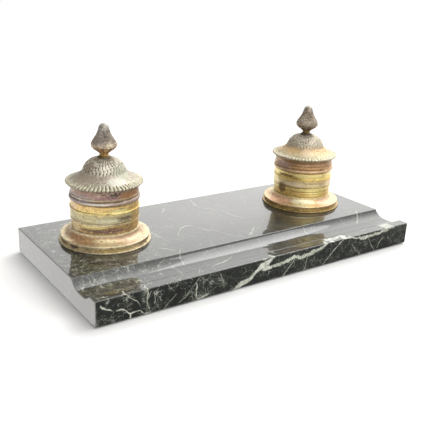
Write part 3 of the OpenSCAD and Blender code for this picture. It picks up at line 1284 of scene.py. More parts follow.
@dataclass
class Well:
    """One inkwell: foot ring, barrel, collar, liner, lid and finial on one upright axis."""

    side: Side
    facing: float
    finishes: "WellFinishes"
    body: str = "stand"
    joint_gap: float = 0.05
    lift_gap: float = 0.4
    hole_gap: float = 0.4
    casting_fillet: float = 0.12
    tube_fillet: float = 0.1
    glaze_fillet: float = 0.45
    lid_steps: int = 360
    finial_steps: int = 216

    # Foot ring
    rim_height: float = 4.9
    rim_setback: float = 1.3
    edge_bead: float = 1.3
    edge_bead_proud: float = 0.7
    foot_fillet: float = 0.5
    plate_ledge: float = 5.0
    # Barrel
    barrel_radius: float = 25.8
    barrel_wall: float = 1.5
    belt_place: float = 8.8
    belt_height: float = 8.2
    belt_proud: float = 0.5
    ridge_proud: float = 0.5
    ridge_height: float = 0.8
    ring_depth: float = 0.22
    # Collar
    collar_bead: float = 3.4
    collar_bead_proud: float = 1.3
    collar_wall: float = 1.8
    ledge_depth: float = 5.0
    ledge_width: float = 1.7
    collar_spigot: float = 3.0
    # Liner
    liner_wall: float = 3.0
    foot_round: float = 2.0
    # Lid
    flange_edge: float = 1.6
    rim_lift: float = 0.9
    rim_nose: float = 1.0
    nose_start: float = -60
    nose_step: float = 18
    nose_points: int = 8
    shoulder_radius: float = 17.0
    shoulder_height: float = 9.3
    lid_wall: float = 1.8
    crown_thickness: float = 2.4
    lid_ring_wall: float = 1.5
    leaves: int = 36
    leaf_depth: float = 0.8
    leaf_row: float = 3.6
    pleats: int = 60
    pleat_depth: float = 0.8
    pleat_start: float = 22.6
    worn_away: float = 0.0
    flare_crest: float = 0.72
    # Finial
    finial_seat: float = 5.2
    neck_radius: float = 3.1
    neck_height: float = 2.7
    bud_height: float = 9.7
    stem_radius: float = 2.0
    nut_flats: float = 7.0
    bud_lobes: int = 9
    bud_depth: float = 1.15

    def __post_init__(self) -> None:
        """Reads the well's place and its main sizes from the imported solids."""
        self.slab_top = corners("marble_slab")[1].z
        low, high = corners(self.side.node("barrel"))
        self.centre = Vector(((low.x + high.x) / 2, (low.y + high.y) / 2, self.slab_top))
        self.place = self.centre * MM
        self.foot_top, self.collar_foot = self._heights("barrel")
        self.mouth = self._heights("collar")[1]
        self.crown = self._heights("lid")[1]
        self.tip = self._heights("finial")[1]
        self.foot_radius = self._radius("foot_ring")
        self.flange_radius = self._radius("lid")
        self.rim_radius = self._radius("liner")
        self.bud_radius = self._radius("finial")
        self.barrel_bore = self.barrel_radius - self.barrel_wall

    def _heights(self, part: str) -> tuple[float, float]:
        """The lower and upper end of one of the well's solids above the slab."""
        low, high = corners(self.side.node(part))
        return low.z - self.slab_top, high.z - self.slab_top

    def _radius(self, part: str) -> float:
        """The largest radius of one of the well's solids."""
        low, high = corners(self.side.node(part))
        return (high.x - low.x) / 2

    def _make(
        self,
        part: str,
        name: str,
        body: str,
        slot: str,
        mesh: bmesh.types.BMesh,
        finish: WornMetal | ChasedMetal | InkedPorcelain,
        lift: float = 0.0,
    ) -> None:
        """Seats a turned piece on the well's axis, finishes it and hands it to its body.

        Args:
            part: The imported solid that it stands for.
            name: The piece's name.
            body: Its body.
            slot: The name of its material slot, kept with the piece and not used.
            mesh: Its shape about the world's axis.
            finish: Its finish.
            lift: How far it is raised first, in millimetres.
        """
        for move in (Vector((0, 0, lift)) * MM, self.place):
            bmesh.ops.translate(mesh, verts=mesh.verts[:], vec=move)
        Piece(self.side.node(name), body, slot, self.side.node(part)).make(mesh, finish.material())

    def build(self) -> None:
        """Makes and dresses every piece of the well."""
        self._foot()
        self._barrel()
        self._collar()
        self._liner()
        self._lid()
        self._finial()
        for part in ("floor_plate", "lid_ring", "finial_nut"):
            dress(self.side.node(part), self.finishes.brass)
        for part in ("fixing_bolt", "fixing_washer", "fixing_nut"):
            dress(self.side.node(part), self.finishes.steel)

    def _raised_line(self, foot: float) -> list[Point]:
        """Points of a narrow raised line round the barrel or the collar, from its foot up."""
        radius, top = self.barrel_radius + self.ridge_proud, foot + self.ridge_height
        return [(radius, foot), (radius, top), (self.barrel_radius, top)]

    def _foot(self) -> None:
        """The foot ring, with its two beads and the flare between them and the barrel."""
        top = self.foot_top
        band = self.foot_radius - self.rim_setback - self.edge_bead_proud
        fillet = self.barrel_radius + self.foot_fillet
        plate_low = self._heights("floor_plate")[0]
        plate_edge = self._radius("floor_plate") + self.joint_gap
        upstand = self.barrel_bore - self.joint_gap
        upstand_top = self._heights("foot_ring")[1]
        bore = self._radius("floor_plate") - self.plate_ledge
        start = (band, self.rim_height + self.edge_bead / 2)
        end = (fillet, top - self.foot_fillet)
        reach, rise = band - fillet, end[1] - start[1]
        outline = [
            (bore, 0.0),
            *bead(self.foot_radius - self.edge_bead_proud, 0, self.edge_bead, self.edge_bead_proud),
            (band, self.edge_bead + self.rim_setback / 4),
            *bead(band, self.rim_height - self.edge_bead / 2, self.edge_bead, self.edge_bead_proud),
            *curve(start, (fillet + 0.4 * reach, start[1]), (fillet, start[1] + 0.3 * rise), end)[1:],
            (fillet, top), (upstand, top), (upstand, upstand_top), (plate_edge, upstand_top),
            (plate_edge, plate_low), (bore, plate_low),
        ]
        mesh = turned(outline, fillet=self.casting_fillet)
        self._make("foot_ring", "foot_ring_gilt", self.body, "gilt_foot", mesh, self.finishes.foot)

    def _barrel(self) -> None:
        """The barrel, with its turned rings, raised belt and ridge."""
        foot, top, radius = self.foot_top, self.collar_foot, self.barrel_radius
        line = foot + self.belt_place - 2 * self.ridge_height
        belt, belt_top = foot + self.belt_place, foot + self.belt_place + self.belt_height
        proud = radius + self.belt_proud
        ridge_foot = belt_top - self.ridge_height
        outline = [
            (self.barrel_bore, foot),
            *ripple(radius, foot + 0.05, line - 0.1, 3, self.ring_depth),
            *self._raised_line(line),
            (radius, belt),
            *ripple(proud, belt + 0.05, ridge_foot - 0.05, 2, self.ring_depth / 2),
            *bead(proud, ridge_foot, self.ridge_height, self.ridge_proud)[1:],
            (radius, belt_top + 0.05),
            *ripple(radius, belt_top + 0.6, top - 0.3, 1, self.ring_depth / 2),
            (radius, top), (self.barrel_bore, top),
        ]
        mesh = turned(outline, fillet=self.tube_fillet)
        self._make("barrel", "barrel_gilt", self.body, "gilt_barrel", mesh, self.finishes.barrel)

    def _collar(self) -> None:
        """The collar, with the bead at its foot and the liner's ledge inside."""
        foot, top, radius = self.collar_foot, self.mouth, self.barrel_radius
        spigot = self.barrel_bore - self.joint_gap
        bore = radius - self.collar_wall
        ledge = top - self.ledge_depth
        line = foot + self.collar_bead + 1
        outline = [
            (spigot, foot - self.collar_spigot), (spigot, foot),
            *bead(radius, foot, self.collar_bead, self.collar_bead_proud),
            *self._raised_line(line),
            *ripple(radius, line + self.ridge_height + 0.4, top - 0.3, 2, self.ring_depth / 2),
            (radius, top), (bore, top), (bore, ledge),
            (bore - self.ledge_width, ledge), (bore - self.ledge_width, foot - self.collar_spigot),
        ]
        mesh = turned(outline, fillet=self.casting_fillet)
        self._make("collar", "collar_bronzed", self.body, "bronzed_collar", mesh, self.finishes.collar)

    def _liner(self) -> None:
        """The porcelain liner, which hangs by its rim in the collar."""
        low, high = self._heights("liner")
        ledge = self.mouth - self.ledge_depth
        radius = self.barrel_radius - self.collar_wall - self.ledge_width - self.lift_gap
        bore = radius - self.liner_wall
        floor_height = low + self.liner_wall
        outline = [
            (0.0, low), *round_foot(radius, low, self.foot_round), (radius, ledge),
            (self.rim_radius, ledge), (self.rim_radius, high), (bore, high),
            *reversed(round_foot(bore, floor_height, self.foot_round)), (0.0, floor_height),
        ]
        mesh = turned(outline, fillet=self.glaze_fillet)
        ink_height = floor_height + self.finishes.ink_depth
        glaze = InkedPorcelain(self.side.node("liner_glaze"), self.finishes.axis, ink_height, bore)
        self._make("liner", "liner_glazed", self.side.node("liner_body"), "porcelain", mesh, glaze)

    def _lid(self) -> None:
        """The lid: a pleated flange, a smooth flare and a leafy dome."""
        edge, shoulder = self.flange_edge, (self.shoulder_radius, self.shoulder_height)
        crown = self.crown - self.mouth
        fall = self.flange_radius - self.shoulder_radius
        drop = self.shoulder_height - edge
        rise, reach = crown - self.shoulder_height, self.shoulder_radius - self.finial_seat
        under = crown - self.crown_thickness
        bore = self.rim_radius - self.lid_ring_wall
        flat = self.nut_flats / 2 / cos(pi / 6) + 2.5
        hole = self.stem_radius + self.hole_gap
        inner = (self.shoulder_radius - self.lid_wall, self.shoulder_height - self.lid_wall / 2)
        inner_rise = under - inner[1]
        flare = curve(
            (self.flange_radius - 0.9 * self.rim_nose, self.rim_lift + 2.0 * self.rim_nose),
            (self.flange_radius - 0.40 * fall, edge + 0.24 * drop),
            (self.shoulder_radius + 0.24 * fall, self.shoulder_height - 0.44 * drop),
            shoulder, 40,
        )
        dome = curve(
            shoulder,
            (self.shoulder_radius - 0.15 * reach, self.shoulder_height + 0.63 * rise),
            (self.finial_seat + 0.46 * reach, crown - 0.03 * rise),
            (self.finial_seat, crown), 34,
        )
        nose = (self.flange_radius - self.rim_nose, self.rim_lift + self.rim_nose)
        angles = [radians(self.nose_start + self.nose_step * step) for step in range(self.nose_points)]
        rim = [(nose[0] + self.rim_nose * cos(a), nose[1] + self.rim_nose * sin(a)) for a in angles]
        chased = [*rim, *flare, *dome[1:]]
        hidden = [
            (hole, crown), (hole, under), (flat, under),
            *curve(
                (flat, under), (flat + 0.4 * (inner[0] - flat), under),
                (inner[0] - 0.5, inner[1] + 0.6 * inner_rise), inner,
            )[1:],
            *curve(inner, (inner[0] + 1.2, inner[1] - 2.4), (bore - 2.4, edge + 1.4), (bore, edge))[1:],
            (bore, 0.0), (self.barrel_radius + 0.6, 0.0), (self.flange_radius - 1.3, 0.6 * self.rim_lift),
        ]
        mesh = turned([*chased, *hidden], steps=self.lid_steps, chased=len(chased))
        Relief.cut(mesh, self._lid_pattern)
        body = self.side.node("lid_body")
        self._make("lid", "lid_chased", body, "worn_lid", mesh, self.finishes.lid, self.mouth)

    def _lid_pattern(self, radius: float, height: float, angle: float) -> tuple[float, float]:
        """The lid's relief: leaves over the dome, a smooth flare and pleats at the rim.

        Args:
            radius: The point's radius.
            height: Its height above the collar.
            angle: Its angle.

        Returns:
            The crest, from 0 to 1, and the depth of the hollows.
        """
        # The sines with uneven factors make each leaf and pleat differ from the next
        up = height - self.shoulder_height
        sway = 0.28 * sin(0.7 * up + 3 * angle) + 0.1 * sin(1.9 * up + 7 * angle)
        number, across = lobe(angle, self.leaves, sway)
        if radius > self.shoulder_radius + 0.05:
            pleat, place = lobe(angle, self.pleats)
            start = self.pleat_start + 1.3 * place**2 + 0.5 * sin(pleat * 2.4)
            share = blend(radius, start, start + 1.0)
            crest = sqrt(max(0.0, 1 - place**2)) ** 0.9
            plain_share = max(self.worn_away, 0.6 * blend(cos(angle + self.facing), 0.85, 0.2))
            crest += (0.75 + 0.2 * sin(pleat * 2.9 + radius * 2.3) - crest) * plain_share
            rib_end = self.shoulder_radius + 2.0 + 0.9 * sin(number * 1.7)
            rib = 1 - blend(radius, self.shoulder_radius, rib_end)
            plain = self.flare_crest - 0.3 * rib * across**2
            return crest * share + (1 - share) * plain, self.pleat_depth * share + 0.35 * rib * (1 - share)
        width = 0.8 + 0.2 * blend(up, 0.5, 3.0)
        inside = min(1.0, abs(across) / width)
        spine = 0.26 * max(0.0, 1 - inside / 0.22)
        nick = (0.16 * sin(up * 3.6 + number * 1.9) + 0.1 * sin(up * 7.3 + number * 2.7)) * inside
        row = (up + 1.5 * sin(number * 2.3) + 0.8 * sin(number * 5.1)) / self.leaf_row
        notch = 0.42 * max(0.0, 1 - abs(row - round(row)) * self.leaf_row / 0.8)
        crest = min(1.0, max(0.0, sqrt(1 - inside**2) - spine - nick - notch))
        crest += (0.72 + 0.25 * sin(number * 2.9 + up * 2.1) - crest) * 0.75 * self.worn_away
        merge = 1 - blend(up, 0.0, 2.4 + 1.3 * sin(number * 2.1) * sin(number * 0.7))
        fade = 0.35 + 0.65 * blend(radius, self.finial_seat + 0.6, self.finial_seat + 3.5)
        crest += (self.flare_crest - 0.3 * across**2 - crest) * merge
        return crest, self.leaf_depth * fade * (1 - 0.5 * merge)

    def _finial(self) -> None:
        """The bud finial, screwed down through the crown."""
        height = self.tip - self.crown
        tip_foot = (0.46 * self.bud_radius, 0.80 * height)
        upper, lower = tip_foot[1] - self.bud_height, self.bud_height - self.neck_height
        stem_foot = self._heights("finial")[0] - self.crown
        cap = height - tip_foot[1]
        bud = [
            *curve(
                (self.neck_radius, self.neck_height - 0.4),
                (self.neck_radius + 1.1, self.neck_height + 0.35 * lower),
                (self.bud_radius, self.bud_height - 0.5 * lower),
                (self.bud_radius, self.bud_height), 22,
            ),
            *curve(
                (self.bud_radius, self.bud_height),
                (self.bud_radius, self.bud_height + 0.3 * upper),
                (tip_foot[0] + 1.2, tip_foot[1] - 0.44 * upper),
                tip_foot, 28,
            )[1:],
            *curve(
                tip_foot,
                (0.84 * tip_foot[0], tip_foot[1] + 0.5 * cap),
                (0.7 * tip_foot[0], height),
                (0.0, height), 14,
            )[1:],
        ]
        foot = [
            (0.0, stem_foot), (self.stem_radius, stem_foot), (self.stem_radius, 0.0), (self.finial_seat, 0.0),
            (self.finial_seat, 0.5), (self.neck_radius + 1, 0.9),
        ]
        mesh = turned([*reversed(bud), *reversed(foot)], steps=self.finial_steps, chased=len(bud))
        Relief.cut(mesh, self._finial_pattern)
        body = self.side.node("lid_body")
        self._make("finial", "finial_bud", body, "worn_finial", mesh, self.finishes.finial, self.crown)

    def _finial_pattern(self, radius: float, height: float, angle: float) -> tuple[float, float]:
        """The finial's relief: lobes below, long pointed leaves above, and a plain cap.

        Args:
            radius: The point's radius.
            height: Its height above the crown.
            angle: Its angle.

        Returns:
            The crest, from 0 to 1, and the depth of the hollows.
        """
        total = self.tip - self.crown
        cap_foot, leaf_foot = 0.80 * total, self.bud_height * 0.85
        share = self.bud_depth * blend(radius, self.neck_radius - 0.2, self.neck_radius + 3.5)
        cap = blend(height, cap_foot, 0.86 * total)
        number, across = lobe(angle, self.bud_lobes)
        round_lobe = sqrt(max(0.0, 1 - across**2)) ** 0.8
        _, between = lobe(angle, self.bud_lobes, 0.5)
        climb = (height - leaf_foot) / (cap_foot - leaf_foot)
        leaf_width = max(0.0, 1 - max(0.0, climb)) ** 0.8
        striae = 0.12 * cos(angle * self.bud_lobes * 6)
        striae += 0.14 * sin(height * 2.6 + number * 2.2 + 3 * abs(across))
        if climb > 0 and abs(between) < leaf_width:
            inside = abs(between) / leaf_width
            crest = 1 - 0.22 * inside - 0.3 * max(0.0, 1 - inside / 0.16) + striae - 0.1
        else:
            crest = 0.62 * round_lobe + striae + 0.1 if climb > 0 else round_lobe + striae - 0.1
        crest = min(1.0, max(0.0, crest))
        return crest * (1 - cap) + cap * (0.85 + striae / 2), share


@dataclass(frozen=True)
class WellFinishes:
    """The finishes of one well's pieces."""

    foot: WornMetal
    barrel: WornMetal
    collar: WornMetal
    lid: ChasedMetal
    finial: ChasedMetal
    axis: Axis
    ink_depth: float
    brass: bpy.types.Material
    steel: bpy.types.Material


# --- The studio ---


def heading_vector(heading: float, elevation: float) -> Vector:
    """The direction of a heading, from the back towards the right end, and an elevation."""
    turn, rise = radians(heading), radians(elevation)
    return Vector((sin(turn) * cos(rise), cos(turn) * cos(rise), sin(rise)))


@dataclass(frozen=True)
class Glow:
    """A soft bright area of the surround, full within its core and gone at its edge, in degrees."""

    heading: float
    elevation: float
    core: float
    edge: float
    strength: float

    def level(self, shader: Shader, direction: Signal) -> Signal:
        """The glow's strength in a direction."""
        towards = heading_vector(self.heading, self.elevation)
        share = shader.vector("DOT_PRODUCT", direction, towards, output="Value")
        return share.step(cos(radians(self.edge)), cos(radians(self.core))) * self.strength


@dataclass(frozen=True)
class Lamp:
    """A soft box that points at the stand."""

    name: str
    heading: float
    elevation: float
    distance: float
    width: float
    height: float
    radiance: float

    def place(self) -> None:
        """Adds the lamp to the scene, out of the camera's sight."""
        away = heading_vector(self.heading, self.elevation)
        data = bpy.data.lights.new(self.name, "AREA")
        data.shape = "RECTANGLE"
        data.size, data.size_y = self.width, self.height
        data.energy = self.radiance * pi * self.width * self.height
        lamp = bpy.data.objects.new(self.name, data)
        lamp.location = away * self.distance
        lamp.rotation_euler = away.to_track_quat("Z", "Y").to_euler()
        lamp.visible_camera = False
        bpy.context.scene.collection.objects.link(lamp)


@dataclass(frozen=True)
class Camera:
    """The view of the stand."""

    position: tuple[float, float, float] = (-0.3010, -0.4077, 0.2115)
    azimuth: float = -35.76
    elevation: float = 19.88
    roll: float = 2.67
    lens: float = 53.56
    sensor: float = 36.0
    nearest: float = 0.01

    def place(self) -> None:
        """Adds the camera and makes it the scene's own."""
        data = bpy.data.cameras.new("camera")
        data.lens = self.lens
        data.sensor_width = self.sensor
        data.clip_start = self.nearest
        camera = bpy.data.objects.new("camera", data)
        turn = Matrix.Rotation(radians(self.azimuth), 4, "Z")
        tilt = Matrix.Rotation(radians(90 - self.elevation), 4, "X")
        roll = Matrix.Rotation(radians(self.roll), 4, "Z")
        camera.matrix_world = Matrix.Translation(self.position) @ turn @ tilt @ roll
        bpy.context.scene.collection.objects.link(camera)
        bpy.context.scene.camera = camera


@dataclass(frozen=True)
class Studio:
    """A pale floor, a plain pale surround and soft lamps."""

    lamps: tuple[Lamp, ...]
    glows: tuple[Glow, ...]
    ambient: float = 0.24
    floor_radius: float = 6.0
    seen_albedo: float = 0.87
    lit_albedo: float = 0.75
    fade_start: float = 0.30
    fade_end: float = 0.75
    strip_mirrored: float = 0.12
    floor_mirrored: float = 1.65
    floor_sides: int = 96
    # The dim strip's back, front and left end, in metres, each from where it is dim to where it is bright
    strip_back: Point = (-0.072, -0.062)
    strip_front: Point = (-0.15, -0.22)
    strip_end: Point = (-0.14, -0.16)
    warmth: Colour = (1.0, 0.99, 0.97, 1)

    def build(self) -> None:
        """Makes the floor, the surround, the lamps and the camera."""
        self._floor()
        self._surround()
        for lamp in self.lamps:
            lamp.place()
        Camera().place()
        bpy.context.scene.view_settings.view_transform = "Standard"

    def _floor(self) -> None:
        """The floor: white and shadowed to the eye, a plain pale grey to the light it throws back."""
        mesh = bmesh.new()
        bmesh.ops.create_circle(mesh, cap_ends=True, segments=self.floor_sides, radius=self.floor_radius)
        floor_object = link("floor", mesh)

        shader = Shader("floor")
        point = shader.node("ShaderNodeTexCoord", output="Object")
        away = shader.vector("LENGTH", point, output="Value").step(self.fade_start, self.fade_end)
        inputs = {0: away, 1: shader.matt(self.seen_albedo), 2: shader.glow(1.0)}
        seen = shader.node("ShaderNodeMixShader", inputs=inputs)
        # The strip before the slab's front face is dim, so that the face mirrors it as near black
        width, depth, _ = shader.axes(point)
        outside = depth.step(*self.strip_back).most(depth.step(*self.strip_front))
        outside = outside.most(width.step(*self.strip_end))
        glow = outside * (self.floor_mirrored - self.strip_mirrored) + self.strip_mirrored
        path = shader.node("ShaderNodeLightPath")
        glossy = path.output("Is Glossy Ray").most(path.output("Is Transmission Ray"))
        inputs = {0: glossy, 1: shader.matt(self.lit_albedo), 2: shader.glow(glow)}
        thrown = shader.node("ShaderNodeMixShader", inputs=inputs)
        inputs = {0: path.output("Is Camera Ray"), 1: thrown, 2: seen}
        shader.node("ShaderNodeOutputMaterial", inputs={0: shader.node("ShaderNodeMixShader", inputs=inputs)})
        floor_object.data.materials.append(shader.material)

    def _surround(self) -> None:
        """The surround: white to the eye, and a soft light with its glows to everything else."""
        world = bpy.data.worlds.new("surround")
        bpy.context.scene.world = world
        world.use_nodes = True
        shader = Shader.of_tree(world.node_tree)
        direction = shader.node("ShaderNodeTexCoord", output="Generated")
        light = self.ambient + sum(glow.level(shader, direction) for glow in self.glows)
        seen = shader.node("ShaderNodeLightPath").output("Is Camera Ray")
        strength = light * (1 - seen) + seen
        warm = shader.mix(seen, self.warmth, WHITE)
        background = shader.node("ShaderNodeBackground", inputs={"Color": warm, "Strength": strength})
        shader.node("ShaderNodeOutputWorld", inputs={0: background})


# --- The stand's own finishes ---

UMBER = 0x46322C
# Pale cream for beads and raised lines: partly rubbed bright, partly painted highlight
CREAM_RUB_AND_HIGHLIGHT = 0xF4E8C4

# Each vein's course on its face, then its width, strength and reach where they differ from Vein's own
COURSES: dict[Face, tuple[tuple[Any, ...], ...]] = {
    Face.FRONT: (
        (((-42, 0), (-28, 6), (-17, 12.5), (-7, 17), (-3, 20)), 1.7, 0.85, 4),
        (((-15, 12), (-6, 11.5), (6, 12.5), (19, 14.5), (27, 13.5), (39, 15), (53, 19.5)), 1.5, 0.95, 4),
        (((53, 19.5), (63, 20), (77, 19), (90, 18), (101, 17)), 0.55, 0.95, 7),
        (((88, 19), (101, 17), (119, 18.5), (133, 19)), 1.6, 0.8, 9),
        (((72, 19), (59, 10.5), (48, 0)), 0.31, 0.75),
        (((18, 13), (6, 0)), 0.31, 0.75),
        (((32, 12), (30, 0)), 0.27, 0.7),
        (((100, 16), (110, 1)), 0.27, 0.7),
        (((119, 12), (113, 3)), 0.31, 0.7),
        (((82, 12), (92, 0)), 0.2, 0.5),
        (((-141, 20), (-130, 21), (-126, 19), (-122, 15), (-118, 9), (-117, 4.5)), 0.3, 0.85),
        (((-136, 10), (-131, 9.5), (-126, 5.2), (-118, 4.5), (-114, 2), (-110, 4.6)), 0.47, 0.95),
        (((-126, 5.2), (-125, 0)), 0.47, 0.9),
        (((-110, 4.6), (-112, 9), (-112, 20)), 0.3, 0.85),
        (((-110, 17), (-112, 12)), 0.22, 0.6),
        (((-108, 16), (-105, 4)), 0.2, 0.5),
        (((-90, 10), (-101, 0)), 0.22, 0.6),
        (((-70, 19), (-76, 12), (-80, 8), (-88, 2)), 0.24, 0.6),
        (((-73, 14), (-72, 5), (-71, 0)), 0.55, 0.8),
        (((-72, 3), (-63, 3.5)), 0.47, 0.7),
        (((-53, 18), (-48, 5)), 0.2, 0.5),
        (((-147, 15), (-138, 10)), 0.5, 0.8),
    ),
    Face.TOP: (
        (((12, 67), (7, 47), (12, 38), (18, 29), (21, 13), (27, 3)), 0.4, 0.36),
        (((-47, -4), (-32, 10), (-25, 10), (-22, 1), (-14, -9), (-7, -25), (-1, -33)), 0.45, 0.41),
        (((21, -16), (6, -30)), 0.9, 0.32),
        (((-62, 14), (-62, 0)), 0.5, 0.32),
        (((-74, -19), (-69, -22), (-65, -29)), 0.5, 0.36),
        (((-32, 50), (-23, 59)), 0.8, 0.32),
        (((-59, -28), (-65, -42), (-65, -52), (-59, -60)), 0.5, 0.43),
        (((-25, -48), (-37, -53), (-62, -62), (-70, -72)), 0.55, 0.41, 20),
        (((129, -29), (124, -35), (112, -50), (110, -58), (98, -66)), 0.9, 0.41),
        (((58, -36), (57, -48), (52, -60)), 0.5, 0.36),
        (((0, -58), (1, -68)), 1.1, 0.36),
        (((-12, -41), (-24, -48)), 0.6, 0.36),
    ),
}
VEINS = tuple(Vein(face, *row) for face, rows in COURSES.items() for row in rows)
